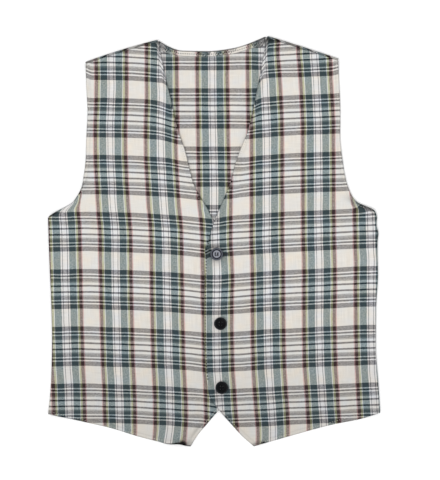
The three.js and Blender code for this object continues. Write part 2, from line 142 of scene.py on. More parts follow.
def curve_through(rows):
    """A smooth curve through (key, value) rows that never swings past them."""
    key, value = np.array(rows, float).T
    span = np.diff(key)
    slope = np.diff(value) / span
    before, after = slope[:-1], slope[1:]
    mean = (before * span[1:] + after * span[:-1]) / (span[:-1] + span[1:])
    limit = np.minimum(np.minimum(abs(before), abs(after)), abs(mean) / 2)
    tangent = np.concatenate([slope[:1], (np.sign(before) + np.sign(after)) * limit, slope[-1:]])

    def at(where):
        t = np.clip(where, key[0], key[-1])
        i = np.clip(np.searchsorted(key, t, side="right") - 1, 0, len(span) - 1)
        s = t - key[i]
        bend = (tangent[i] + tangent[i + 1] - 2 * slope[i]) / span[i] ** 2
        curl = (3 * slope[i] - 2 * tangent[i] - tangent[i + 1]) / span[i]
        return value[i] + s * (tangent[i] + s * (curl + s * bend))
    return at


def mix(a, b, share):
    return a + (b - a) * share


def fall(t):
    """1 at or before the start, falling softly to 0 at the end."""
    return 0.5 * (1 + np.cos(np.pi * np.clip(t, 0, 1)))


class Half:
    """Side, armhole and shoulder of one half of the garment. Sign is -1 for the wearer's right."""

    def __init__(self, sign, side, armhole, neck, shoulder_bow):
        self.sign = sign
        self.side_x, self.armhole_x = curve_through(side), curve_through(armhole)
        self.hem_y, self.hem_x = side[0]
        self.underarm_y, self.underarm_x = armhole[0]
        self.tip_y, self.tip_x = armhole[-1]
        self.neck_y, self.neck_x = neck
        self.shoulder_bow = shoulder_bow
        run = math.hypot(self.tip_x - self.neck_x, self.neck_y - self.tip_y)
        self.along = (self.tip_x - self.neck_x) / run
        self.up = (self.neck_y - self.tip_y) / run
        self.roll_tip_y = float(self.shoulder_y(self.tip_x, FOLD_INSET))
        self.seam_drop = SHOULDER_SEAM_INSET / self.along

    def shoulder_y(self, x, inset):
        t = np.clip((self.tip_x - x) / (self.tip_x - self.neck_x), 0, 1)
        bow = self.shoulder_bow * 4 * t * (1 - t)
        return mix(self.tip_y, self.neck_y, t) + bow - inset / self.along


right_half = Half(-1, RIGHT_SIDE, RIGHT_ARMHOLE, RIGHT_NECK_POINT, RIGHT_SHOULDER_BOW)
left_half = Half(1, LEFT_SIDE, LEFT_ARMHOLE, LEFT_NECK_POINT, LEFT_SHOULDER_BOW)
back_neck_y = curve_through(BACK_NECK)


def level_y(level, hem, chest, shoulder):
    """Level runs 0 at the hem, 1 at the chest and 2 at the shoulder."""
    return np.where(level <= 1, mix(hem, chest, level), mix(chest, shoulder, level - 1))


def ridges(rows, x, y):
    """Soft ridges and troughs: each row is middle x, y, direction, half length, half width, height. The
    same rows say how far the weave is drawn off its line, or how much painted shade lies at a place."""
    height = np.zeros(np.shape(x))
    for ridge_x, ridge_y, degrees, length, width, rise in rows:
        angle = math.radians(degrees)
        along = (x - ridge_x) * math.cos(angle) + (y - ridge_y) * math.sin(angle)
        across = (y - ridge_y) * math.cos(angle) - (x - ridge_x) * math.sin(angle)
        height = height + rise * np.exp(-(along / length) ** 2 - (across / width) ** 2)
    return height


def round_fold(start, outward, turns, from_below, length):
    """Middle points round a fold from a line of start points. Turn 1 is the end of the half circle, and
    what is past it runs on flat for that share of length. Gives points and the cloth used up to each."""
    turn = np.asarray(turns, float)
    angle = np.pi * np.minimum(turn, 1)
    past = np.maximum(0, turn - 1) * length
    reach = FOLD_RADIUS * np.sin(angle) - past
    lift = FOLD_RADIUS * (1 - np.cos(angle)) * (1 if from_below else -1)
    points = start[:, None, :] + reach[None, :, None] * np.append(outward, 0.0)
    points[..., 2] += lift
    return points, FOLD_RADIUS * angle + past


def cloth_wall(name, middle, weave, dark, cells, finish):
    """Closed cloth with rounded edges round a grid of middle points in millimetres. Weave holds the place
    of each point in the check, as (across, along) in repeats, dark is how much painted shade each
    point carries, and cells says where there is cloth."""
    columns, rows = cells.shape[0] + 1, cells.shape[1] + 1
    down_columns, down_rows = np.diff(middle, axis=0), np.diff(middle, axis=1)
    cell_normal = np.cross(down_columns[:, :-1] + down_columns[:, 1:], down_rows[:-1] + down_rows[1:])
    cell_normal[~cells] = 0
    facing = 1 if np.median(cell_normal[cells][:, 2]) > 0 else -1
    normal = np.zeros_like(middle)
    for i in (0, 1):
        for j in (0, 1):
            normal[i:columns - 1 + i, j:rows - 1 + j] += cell_normal
    normal = normal.reshape(-1, 3)
    normal *= facing / np.maximum(np.linalg.norm(normal, axis=1, keepdims=True), 1e-12)

    index = np.arange(columns * rows).reshape(columns, rows)
    a, b, c, d = index[:-1, :-1], index[1:, :-1], index[1:, 1:], index[:-1, 1:]
    beyond = np.pad(cells, 1)
    sides = [(a, b, beyond[1:-1, :-2]), (b, c, beyond[2:, 1:-1]),
             (c, d, beyond[1:-1, 2:]), (d, a, beyond[:-2, 1:-1])]
    edges = np.concatenate([np.stack([p[cells & ~open_], q[cells & ~open_]], 1) for p, q, open_ in sides])

    flat = middle.reshape(-1, 3)
    outward = np.zeros_like(flat)
    pull = facing * np.cross(flat[edges[:, 1]] - flat[edges[:, 0]], normal[edges[:, 0]])
    for end in (0, 1):
        np.add.at(outward, edges[:, end], pull)
    outward /= np.maximum(np.linalg.norm(outward, axis=1, keepdims=True), 1e-12)
    upper = flat + normal * CLOTH / 2 - outward * CLOTH * EDGE_ROUND
    lower = flat - normal * CLOTH / 2 - outward * CLOTH * EDGE_ROUND
    count = len(flat)
    points = np.concatenate([upper, lower, flat])
    points[:, 2] = np.maximum(points[:, 2], 0)

    quads = np.stack([a[cells], b[cells], c[cells], d[cells]], 1)
    p, q = edges.T
    faces = np.concatenate([
        quads, quads[:, ::-1] + count,
        np.stack([p + count, q + count, q + 2 * count, p + 2 * count], 1),
        np.stack([p + 2 * count, q + 2 * count, q, p], 1),
    ])
    if facing < 0:
        faces = faces[:, ::-1]
    used, faces = np.unique(faces, return_inverse=True)
    mesh = bpy.data.meshes.new(name)
    mesh.from_pydata((points[used] * MM).tolist(), [], faces.reshape(-1, 4).tolist())
    corner = np.empty(len(mesh.loops), int)
    mesh.loops.foreach_get("vertex_index", corner)
    layer = mesh.uv_layers.new(name="weave")
    layer.data.foreach_set("uv", weave.reshape(-1, 2)[used[corner] % count].astype(np.float32).ravel())
    # Painted shade on the rounded rims, which turn away from the light.
    shaded = np.concatenate([dark.ravel(), dark.ravel(), np.maximum(dark.ravel(), RIM_PAINTED_SHADE)])[used]
    mesh.attributes.new("dark", "FLOAT", "POINT").data.foreach_set("value", shaded.astype(np.float32))
    mesh.shade_smooth()
    mesh.materials.append(finish)
    return put_in_scene(name, mesh)


class Wire:
    """A socket in a finish's nodes. Arithmetic on wires adds Math nodes."""

    def __init__(self, tree, socket=None):
        self.tree, self.socket = tree, socket

    def node(self, kind, settings, inputs, output=0):
        made = self.tree.nodes.new(kind)
        for name, value in settings.items():
            if name == "stops":
                made.color_ramp.interpolation = "CONSTANT"
                stops = made.color_ramp.elements
                for place, colour in value[2:]:
                    stops.new(place).color = colour
                for stop, (place, colour) in zip(sorted(stops, key=lambda s: s.position), sorted(value)):
                    stop.position, stop.color = place, colour
            else:
                setattr(made, name, value)
        for key, value in inputs.items():
            if isinstance(value, Wire):
                self.tree.links.new(value.socket, made.inputs[key])
            else:
                made.inputs[key].default_value = value
        return Wire(self.tree, made.outputs[output])

    def math(self, operation, *values):
        return self.node("ShaderNodeMath", {"operation": operation}, dict(enumerate(values)))

    def __add__(self, other):
        return self.math("ADD", self, other)

    def __sub__(self, other):
        return self.math("SUBTRACT", self, other)

    def __rsub__(self, other):
        return self.math("SUBTRACT", other, self)

    def __mul__(self, other):
        return self.math("MULTIPLY", self, other)

    __radd__, __rmul__ = __add__, __mul__

    def colour_mix(self, other, share, blend="MIX"):
        settings = {"data_type": "RGBA", "blend_type": blend}
        return self.node("ShaderNodeMix", settings, {"Factor": share, "A": self, "B": other}, "Result")


CREAM = (230, 225, 217)
WHITE = (231, 229, 229)
DULL_WHITE = (221, 222, 221)
THIN_WHITE = (216, 222, 219)
CHARCOAL = (64, 62, 65)
BLACK = (28, 28, 34)
TEAL = (48, 75, 80)
MAROON = (54, 26, 23)
YELLOW = (152, 157, 106)
PINK = (196, 142, 143)
STEEL = (74, 78, 85)
WARP_STRIPES = [(22, CREAM), (3, PINK), (9, MAROON), (5, YELLOW), (2, THIN_WHITE), (19, TEAL), (4, WHITE),
                (2, STEEL), (6, WHITE)]
WEFT_STRIPES = [(6, DULL_WHITE), (5, BLACK), (7, DULL_WHITE), (4, (120, 120, 120)), (5, (80, 80, 82)),
                (3, (60, 60, 66)), (4, DULL_WHITE), (5, BLACK), (4, WHITE), (13, CHARCOAL), (25, CREAM)]
WARP_REPEAT = 2 * sum(threads for threads, _ in WARP_STRIPES)
WEFT_REPEAT = 2 * sum(threads for threads, _ in WEFT_STRIPES)
EVEN, ALONG_WARP, ALONG_WEFT, FLECK_SHAPE = (1, 1, 1), (1, 0.02, 1), (0.02, 1, 1), (0.55, 1, 1)
SWAY_SCALE, SWAY = 0.02, 2.4
RAGGED_SCALE, RAGGED = 0.5, 1.2
FLECK_SCALE, FLECK = 0.34, 0.56
DYE_SCALE, DYE_RED, DYE_BLUE = 0.028, 0.07, 0.1
NAP_SCALE, NAP_ROUGH, NAP_ROUGHNESS = 0.35, 0.1, 0.84
SLUB, CROSSING, PAINTED_SHADE_DEPTH = 0.16, 0.32, 0.6
RELIEF_STRENGTH, RELIEF_HEIGHT, THREAD_HEIGHT, NAP_HEIGHT = 0.35, 0.0002, 0.5, 0.8


def stripe_stops(stripes):
    """Where each stripe starts, as a share of half the repeat, with its yarn's colour."""
    total = sum(threads for threads, _ in stripes)
    stops, start = [], 0
    for threads, yarn in stripes:
        stops.append((start / total, (*(part / 255 for part in yarn), 1)))
        start += threads
    return stops


def check_cloth(name, wash):
    """Brushed cotton check on the piece's own weave coordinates."""
    material, tree, shader = new_finish(name)
    start = Wire(tree)
    place = start.node("ShaderNodeUVMap", {"uv_map": "weave"}, {})
    across = start.node("ShaderNodeSeparateXYZ", {}, {0: place}, 0)
    along = start.node("ShaderNodeSeparateXYZ", {}, {0: place}, 1)
    warp_thread, weft_thread = across * WARP_REPEAT, along * WEFT_REPEAT
    where = start.node("ShaderNodeCombineXYZ", {}, {0: warp_thread, 1: weft_thread})

    def noise(scale, stretch, detail=2.0):
        fibre = start.node("ShaderNodeVectorMath", {"operation": "MULTIPLY"}, {0: where, 1: stretch})
        return start.node("ShaderNodeTexNoise", {}, {"Vector": fibre, "Scale": scale, "Detail": detail})

    sway = noise(SWAY_SCALE, EVEN) * SWAY - SWAY / 2
    ragged = noise(RAGGED_SCALE, EVEN) * RAGGED - RAGGED / 2
    warp_at = start.math("PINGPONG", warp_thread + sway + ragged, WARP_REPEAT / 2)
    weft_at = start.math("PINGPONG", weft_thread - sway + ragged, WEFT_REPEAT / 2)
    warp = start.node("ShaderNodeValToRGB", {"stops": stripe_stops(WARP_STRIPES)},
                      {0: warp_at * (2 / WARP_REPEAT)})
    weft = start.node("ShaderNodeValToRGB", {"stops": stripe_stops(WEFT_STRIPES)},
                      {0: weft_at * (2 / WEFT_REPEAT)})
    parity = (start.math("FLOOR", warp_thread) + start.math("FLOOR", weft_thread)) * 0.5
    over = start.math("FRACT", parity) * 2
    slub = ((noise(1.0, ALONG_WARP) * SLUB + (1 - SLUB / 2))
            * (noise(1.0, ALONG_WEFT) * SLUB + (1 - SLUB / 2)))
    melange = noise(FLECK_SCALE, FLECK_SHAPE) * FLECK - FLECK / 2
    crossing = warp.colour_mix(weft, over * CROSSING + (0.5 - CROSSING / 2) + melange)
    dye = noise(DYE_SCALE, EVEN, 1.0)
    # The shade attribute read here is painted shade: darker at turned edges, folds, rolls, seams, creases
    # and towards the hem, where light falls less.
    dark = start.node("ShaderNodeAttribute", {"attribute_name": "dark"}, {}, "Fac")
    tone_and_painted_shade = slub * (1 - dark * PAINTED_SHADE_DEPTH) * wash
    shade = start.node("ShaderNodeCombineColor", {}, {
        0: tone_and_painted_shade * (dye * DYE_RED + (1 - DYE_RED / 2)), 1: tone_and_painted_shade,
        2: tone_and_painted_shade * ((1 + DYE_BLUE / 2) - dye * DYE_BLUE)})
    washed = crossing.colour_mix(shade, 1.0, "MULTIPLY")
    colour = start.node("ShaderNodeGamma", {}, {"Color": washed, "Gamma": 2.2})
    thread_high = (start.math("SINE", warp_thread * math.tau)
                   * start.math("SINE", weft_thread * math.tau)) * 0.5
    nap = noise(NAP_SCALE, EVEN, 4.0)
    relief = start.node("ShaderNodeBump", {}, {
        "Strength": RELIEF_STRENGTH, "Distance": RELIEF_HEIGHT,
        "Height": thread_high * THREAD_HEIGHT + nap * NAP_HEIGHT})
    tree.links.new(colour.socket, shader.inputs["Base Color"])
    tree.links.new((nap * NAP_ROUGH + NAP_ROUGHNESS).socket, shader.inputs["Roughness"])
    tree.links.new(relief.socket, shader.inputs["Normal"])
    shader.inputs["Specular IOR Level"].default_value = 0.2
    shader.inputs["Sheen Weight"].default_value = 0.04
    shader.inputs["Sheen Roughness"].default_value = 0.5
    return material


BACK_CENTRE_X = curve_through([(-300, 2.0), (65.3, 0.2), (228.6, -2.3), (300, -2.6)])
BACK_WARP = 71.85
BACK_BAND_Y = 271.2
BACK_WEFT = 82.8
BACK_DRAWN_DOWN = [(44, 252, 0, 24, 20, -1.1)]
BACK_CREASES = [(-34, 236, 62, 26, 7, 0.7), (30, 214, 104, 34, 8, 0.6), (6, 150, 84, 40, 7, 0.7),
                (48, 262, 20, 24, 5, 0.5)]


def back_weave(x, y):
    sag = ridges(BACK_DRAWN_DOWN, x, y)
    return np.stack([(x - BACK_CENTRE_X(y)) / BACK_WARP + 0.5, (BACK_BAND_Y - sag - y) / BACK_WEFT], -1)


def back_reach(half, y):
    side = half.side_x(np.minimum(y, half.underarm_y)) - BACK_SIDE_INSET
    return np.where(y <= half.underarm_y, side, np.minimum(side, half.armhole_x(y)))


def back_top_y(x):
    """Top of the flat part of the back: both shoulders up to their roll, with the neck between."""
    nearest = np.minimum(x + right_half.neck_x, left_half.neck_x - x)
    shoulder = np.where(x < 0, right_half.shoulder_y(right_half.neck_x, FOLD_INSET),
                        left_half.shoulder_y(left_half.neck_x, FOLD_INSET))
    neck = mix(back_neck_y(x), np.minimum(shoulder, back_neck_y(x)), fall(nearest / NECK_POINT_REACH))
    return np.where(x <= -right_half.neck_x, right_half.shoulder_y(-x, FOLD_INSET),
                    np.where(x >= left_half.neck_x, left_half.shoulder_y(x, FOLD_INSET), neck))


def shares_between(start, end, count):
    return np.linspace(start, end, count + 1)[:-1]


back_levels = np.concatenate([shares_between(0, 1, BACK_LOWER_ROWS),
                              1 + shares_between(0, 1, BACK_UPPER_ROWS) ** ROW_SPREAD, [2.0]])
across_width = right_half.tip_x + left_half.tip_x
neck_start = (right_half.tip_x - right_half.neck_x) / across_width
neck_end = (right_half.tip_x + left_half.neck_x) / across_width
SHOULDER_COLUMNS, NECK_COLUMNS = 34, 52
# Painted shade on the shoulder rolls, which turn over away from the light.
ROLL_PAINTED_SHADE = 0.42
back_across = np.concatenate([shares_between(0, neck_start, SHOULDER_COLUMNS),
                              shares_between(neck_start, neck_end, NECK_COLUMNS),
                              shares_between(neck_end, 1, SHOULDER_COLUMNS), [1.0]])
across, level = np.meshgrid(back_across, back_levels, indexing="ij")
right_y = level_y(level, right_half.hem_y, right_half.underarm_y, right_half.roll_tip_y)
left_y = level_y(level, left_half.hem_y, left_half.underarm_y, left_half.roll_tip_y)
back_x = mix(-back_reach(right_half, right_y), back_reach(left_half, left_y), across)
top_x = mix(-right_half.tip_x, left_half.tip_x, across)
top_shape = back_top_y(top_x) - mix(right_half.roll_tip_y, left_half.roll_tip_y, across)
hem_shape = BACK_HEM_RISE * 4 * across * (1 - across)
back_y = (mix(right_y, left_y, across) + np.maximum(0, level - 1) * top_shape
          + np.maximum(0, 1 - level) * hem_shape)
back_panel = np.stack([back_x, back_y, BACK_HEIGHT + ridges(BACK_CREASES, back_x, back_y)], -1)
back_rolls, back_places = [], []
for column, share in zip(back_panel, back_across):
    half = right_half if share < 0.5 else left_half
    rolled, used_cloth = round_fold(column[-1:], (half.sign * half.up, half.along), FOLD_TURNS, True,
                                    SHOULDER_TURN_OVER)
    rolled[0, -1, 2] -= SEAM_DIP
    back_rolls.append(rolled[0])
    back_places.append(back_weave(np.full(len(used_cloth), column[-1, 0]), column[-1, 1] + used_cloth))
back_grid = np.concatenate([back_panel, np.array(back_rolls)], axis=1)
back_place = np.concatenate([back_weave(back_x, back_y), np.array(back_places)], axis=1)
back_cells = np.ones((back_grid.shape[0] - 1, back_grid.shape[1] - 1), bool)
back_cells[SHOULDER_COLUMNS:SHOULDER_COLUMNS + NECK_COLUMNS, len(back_levels) - 1:] = False
# The shoulder rolls carry painted shade.
back_painted_shade = np.zeros(back_grid.shape[:2])
back_painted_shade[:, len(back_levels):] = ROLL_PAINTED_SHADE
back = cloth_wall("back_panel", back_grid, back_place, back_painted_shade, back_cells,
                  check_cloth("check_cloth_back", 0.915))
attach(back, "root")
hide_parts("back")

# The neck edge of the back is finished with a narrow strip of the same cloth, turned under and stitched
# down on the inside. It is thicker at both neck points, where the fronts' turned edges run into it.
BAND_START, BAND_END = -77.6, 73.6
BAND_LOWER_INSET = 4.2
BAND_WIDTH, BAND_END_WIDTH, BAND_END_REACH = 7.7, 11.5, 24.0
BAND_LUMP, BAND_PUCKER = 1.7, 0.16
BAND_COLUMNS, BAND_ROWS = 96, 11
BAND_TOP_THREAD = curve_through([(-78, 30), (-66, 41), (-54, 53), (-27, 57), (-20, 46), (-9, 44), (-2, 58),
                                 (5, 46), (24, 47), (36, 58), (48, 55), (58, 44), (74, 28)])
BAND_CRUMPLE = curve_through([(-78, 1), (-60, 0.7), (-50, 0.15), (-26, 0.2), (-14, 0.8), (-3, 0.5), (6, 0.8),
                              (24, 0.8), (34, 0.2), (52, 0.3), (60, 1), (74, 1)])
BAND_WANDER_X, BAND_RUMPLE_X, BAND_RUMPLE_Y = 0.02, 0.07, 0.1
# Painted shade on the band: a dark line along its top edge, shade along its foot at the seam, and on its
# thick ends at the neck points, more at the wearer's left end.
BAND_TOP_PAINTED_SHADE, BAND_TOP_SHARE = 0.85, 0.15
BAND_FOOT_PAINTED_SHADE, BAND_FOOT_SHARE = 0.35, 0.95
BAND_END_PAINTED_SHADE, BAND_LEFT_END_MORE = 0.3, 0.7
FRONT_HEIGHT = BACK_HEIGHT + SOLID_CLOTH + GAP

band_share = np.linspace(0, 1, BAND_COLUMNS + 1)
band_down = np.linspace(1, 0, BAND_ROWS + 1)
share, down = np.meshgrid(band_share, band_down, indexing="ij")
band_upper = mix(BAND_START, BAND_END, share)
band_lower = mix(BAND_START + BAND_LOWER_INSET, BAND_END - BAND_LOWER_INSET, share)
band_at_end = fall(np.minimum(band_upper - BAND_START, BAND_END - band_upper) / BAND_END_REACH)
band_x = mix(band_upper, band_lower, down)
band_low_y = back_neck_y(band_lower) - mix(BAND_WIDTH, BAND_END_WIDTH, band_at_end)
band_y = mix(back_top_y(band_upper), band_low_y, down)
band_pucker = BAND_PUCKER * np.sin(band_x * 1.3 + 2 * np.sin(band_x * 0.21)) * down
band_z = FRONT_HEIGHT + BAND_LUMP * band_at_end * 4 * down * (1 - down) + band_pucker
band_depth = (back_top_y(band_upper) - band_y) / BACK_WEFT
band_place = np.stack([
    (band_x - BACK_CENTRE_X(band_y)) / BACK_WARP + 0.5 + BAND_WANDER_X * np.sin(band_x / 11)
    + BAND_RUMPLE_X * BAND_CRUMPLE(band_x) * np.sin(band_x * 1.6 + band_y * 1.2),
    BAND_TOP_THREAD(band_x) / WEFT_REPEAT + band_depth
    + BAND_RUMPLE_Y * BAND_CRUMPLE(band_x) * np.sin(band_x * 1.9 - band_y * 1.4 + np.sin(band_x * 0.7))], -1)
# Painted shade along the band's top and foot and on its thick ends.
band_painted_shade = (BAND_TOP_PAINTED_SHADE * (down < BAND_TOP_SHARE) + BAND_FOOT_PAINTED_SHADE * (down > BAND_FOOT_SHARE)
             + BAND_END_PAINTED_SHADE * band_at_end * (1 + BAND_LEFT_END_MORE * (band_x > 0)))
neck_band = cloth_wall("back_neck_band", np.stack([band_x, band_y, band_z], -1), band_place, band_painted_shade,
                       np.ones((BAND_COLUMNS, BAND_ROWS), bool), check_cloth("check_cloth_band", 0.92))
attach(neck_band, "root")
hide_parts("back_neck_hem")

# The wearer's right front, on the viewer's left, is one piece of the check with turned and stitched
# edges. It folds round the side to its seam under the garment, and lies under the other front.
FOLD_REACH = 20.0
UNDERARM_REACH = 26.0
HEM_CLEARANCE, HEM_REACH = 5.0, 14.0
V_EDGE_LIFT, V_EDGE_REACH = 1.1, 10.0
V_LIFT_START, V_LIFT_FULL = 40.0, 75.0
LAYER = SOLID_CLOTH + GAP
FOLD_RISE = BACK_HEIGHT + 2 * FOLD_RADIUS - FRONT_HEIGHT
CHEST_Y = 33.0
SAG_PEAK = 4 / 27
SWELLS = [(-128, -150, 82, 80, 16, 0.9), (-196, -52, 64, 58, 13, 1.2), (-150, 108, 104, 60, 15, 1.0),
          (-92, -232, 96, 44, 14, 1.1), (-56, -290, 8, 30, 13, 3.0), (-62, 30, 58, 60, 15, 0.8),
          (96, -70, 97, 90, 17, 0.9), (186, -146, 112, 62, 14, 1.2), (160, 84, 72, 52, 14, 1.0),
          (214, 4, 20, 22, 7, 1.3), (212, -24, -12, 24, 6, 1.1), (74, -262, 60, 34, 12, 1.2)]
HEM_RIDGE, HEM_DEPTH, HEM_SOFT = 0.4, 5.2, 2.4
STITCH_INSET, STITCH_PINCH, STITCH_PINCH_WIDTH = 2.9, 0.3, 0.8
PUCKER, PUCKER_REACH = 0.14, 6.0
PUCKER_WAVES = [(1.0, 2.9, 1.1), (0.8, 1.43, 0.4), (0.6, 5.3, 0.0)]
LAP_SEARCH, LAP_CLEAR, LAP_REACH = 12, 6, 14
FAR_OFF = 99.0
FRONT_LOWER_ROWS, FRONT_UPPER_ROWS, FRONT_COLUMNS = 96, 84, 74
SEAM_LEVELS = [1.992, 1.997, 2.0]
CHEST_TO_SHOULDER, SEAM_SOFT = 225, 1.1
EDGE_INSETS = np.array([0, 0.5, 1.0, 1.6, 2.2, 2.8, 3.4, 4.1, 5.0, 6.2, 7.8, 10.0])
RIGHT_FRONT_EDGE = [(-291.8, 33.2), (-277, 24), (-260, 9.7), (-240, -7.3), (-221.5, -24.4),
                    (-203, -31.5), (-12.8, -31.5), (1.4, -21.5), (21.3, -8.7), (31.2, 1.2), (46.1, 9.2),
                    (60.8, 18), (78.7, 27.8), (101.5, 34.3), (127.8, 40.8), (158.3, 51), (186.6, 57.6),
                    (232.2, 68.5), (286.1, 79.3)]
LEFT_FRONT_EDGE = [(-291.8, 57), (-277, 40), (-260, 24.4), (-240, 7.3), (-221.5, -5.5), (-203, -9.7),
                   (-176, -12.6), (-119, -14), (-12.8, -12.6), (3.1, -6.9), (24.1, -0.9), (40, 5.6),
                   (65.9, 16.5), (83.9, 23.8), (105.6, 29.2), (128.5, 37.1), (158.3, 48.9),
                   (186.6, 55.5), (234.4, 65.2), (291.5, 75.5)]
COVER_REACH = 3.0
top_edge_x = curve_through(LEFT_FRONT_EDGE)


def back_hem_y(x):
    t = np.clip((x + right_half.hem_x) / (right_half.hem_x + left_half.hem_x), 0, 1)
    return mix(right_half.hem_y, left_half.hem_y, t) + BACK_HEM_RISE * 4 * t * (1 - t)


class Front:
    """A front's outline, and the height of its cloth at any place. All lengths are in millimetres."""

    def __init__(self, half, edge, hem_sag, is_top):
        self.half, self.edge_x, self.hem_sag, self.is_top = half, curve_through(edge), hem_sag, is_top
        self.point_y, self.point_x = edge[0]

    def hem_line_y(self, outward):
        corner_x = self.half.side_x(self.half.hem_y) - FOLD_INSET
        across = np.clip((corner_x - outward) / (corner_x - self.point_x), 0, 1)
        sag = self.hem_sag * across ** 2 * (1 - across) / SAG_PEAK
        return mix(self.half.hem_y, self.point_y, across) - sag

    def edge_distances(self, x, y):
        """How far x, y lies inside the front edge, the hem and the armhole, square to each."""
        outward = x * self.half.sign
        tilt = (self.edge_x(y + 1) - self.edge_x(y - 1)) / 2
        from_front = (outward - self.edge_x(y)) / np.hypot(1, tilt)
        arm_tilt = (self.half.armhole_x(y + 1) - self.half.armhole_x(y - 1)) / 2
        from_arm = (self.half.armhole_x(y) - outward) / np.hypot(1, arm_tilt)
        from_arm = np.where(y > self.half.underarm_y, from_arm, FAR_OFF)
        return from_front, y - self.hem_line_y(outward), from_arm

    def lap(self, x, y):
        """The top front is lifted where the other lies under it, and a little way round it."""
        if not self.is_top:
            return 0.0
        reach = -np.minimum(right_front.edge_x(y - LAP_SEARCH), right_front.edge_x(y + LAP_SEARCH))
        return LAYER * fall((x - reach - LAP_CLEAR) / LAP_REACH)

    def height(self, x, y):
        half, outward = self.half, x * self.half.sign
        on_side = y <= half.underarm_y
        fold_x = np.where(on_side, half.side_x(y), half.underarm_x) - FOLD_INSET
        beside_fold = fall((fold_x - outward) / FOLD_REACH) * fall((y - half.underarm_y) / UNDERARM_REACH)
        under_shoulder = fall((half.shoulder_y(outward, SHOULDER_SEAM_INSET) - y) / FOLD_REACH)
        rise = FOLD_RISE * (beside_fold + under_shoulder - beside_fold * under_shoulder)
        off_hem = 1 - fall((back_hem_y(x) - y - HEM_CLEARANCE) / HEM_REACH)
        drop = LAYER * off_hem * (1 - beside_fold)
        v_lift = 1 - fall((y - V_LIFT_START) / (V_LIFT_FULL - V_LIFT_START))
        at_edge = fall((outward - self.edge_x(y)) / V_EDGE_REACH)
        quiet = (1 - beside_fold) * (1 - under_shoulder)
        form = FRONT_HEIGHT + rise - drop + V_EDGE_LIFT * v_lift * at_edge * (1 - under_shoulder)
        pressed = 0.0 if self.is_top else fall((top_edge_x(y) - x) / COVER_REACH)
        return form + ridges(SWELLS, x, y) * quiet + self.lap(x, y) + self.edge_relief(x, y) * (1 - pressed)

    def edge_relief(self, x, y):
        """Turned edges are a little thicker, pinched along their stitching and slightly puckered."""
        relief = np.zeros(np.shape(x))
        for distance, run in zip(self.edge_distances(x, y), (y, x, y)):
            inside = np.maximum(distance, 0)
            turned = HEM_RIDGE * fall((inside - HEM_DEPTH) / HEM_SOFT)
            pinch = STITCH_PINCH * np.exp(-((inside - STITCH_INSET) / STITCH_PINCH_WIDTH) ** 2)
            wave = sum(size * np.sin(run / length + start) for size, length, start in PUCKER_WAVES)
            pucker = PUCKER * np.maximum(0, wave) * np.exp(-(inside / PUCKER_REACH) ** 2)
            relief = np.maximum(relief, turned - pinch + pucker)
        return relief

    def grid(self):
        """Middle points of the panel, across from side to front edge and up from hem to shoulder."""
        half = self.half
        length = CHEST_Y - self.point_y
        hem_end = EDGE_INSETS[-1] / length
        below = np.concatenate([EDGE_INSETS / length, np.linspace(hem_end, 1, FRONT_LOWER_ROWS)[1:-1]])
        above = 1 + np.linspace(0, 1, FRONT_UPPER_ROWS)[:-1] ** ROW_SPREAD
        levels = np.unique(np.round(np.concatenate([below, above, SEAM_LEVELS]), 6))
        middle_shares = np.linspace(0, 1, FRONT_COLUMNS)[1:-1]
        side_y = level_y(levels, half.hem_y, half.underarm_y, half.tip_y - half.seam_drop)
        edge_y = level_y(levels, self.point_y, CHEST_Y, half.neck_y - half.seam_drop)
        side_x = np.where(levels <= 1, half.side_x(side_y) - FOLD_INSET, half.armhole_x(side_y))
        width = side_x - self.edge_x(edge_y)
        inset = EDGE_INSETS[:, None] / width
        centre = mix(inset[-1], 1 - inset[-1], middle_shares[:, None])
        across = np.concatenate([inset, centre, 1 - inset[::-1]])
        outward = mix(side_x, self.edge_x(edge_y), across)
        pull = np.maximum(0, 1 - levels) * self.hem_sag * across ** 2 * (1 - across) / SAG_PEAK
        bow = np.maximum(0, levels - 1) * half.shoulder_bow * 4 * across * (1 - across)
        x, y = outward * half.sign, mix(side_y, edge_y, across) - pull + bow
        return x, y, levels


FRONT_TURNS = FOLD_TURNS[::-1]
# Painted shade on the fronts: along every edge, where the turned cloth rounds away from the light, in a thin
# line at the inner edge of the turned hem, on the side fold, and deepening towards the hem, where the light
# falls off.
EDGE_PAINTED_SHADE, EDGE_PAINTED_SHADE_REACH = 0.28, 1.7
HEM_STEP_PAINTED_SHADE, HEM_STEP_WIDTH = 0.07, 0.9
FOLD_PAINTED_SHADE = 0.4
PAINTED_SHADE_TOWARDS_HEM = (0, -292, 0, 900, 150, 0.16)


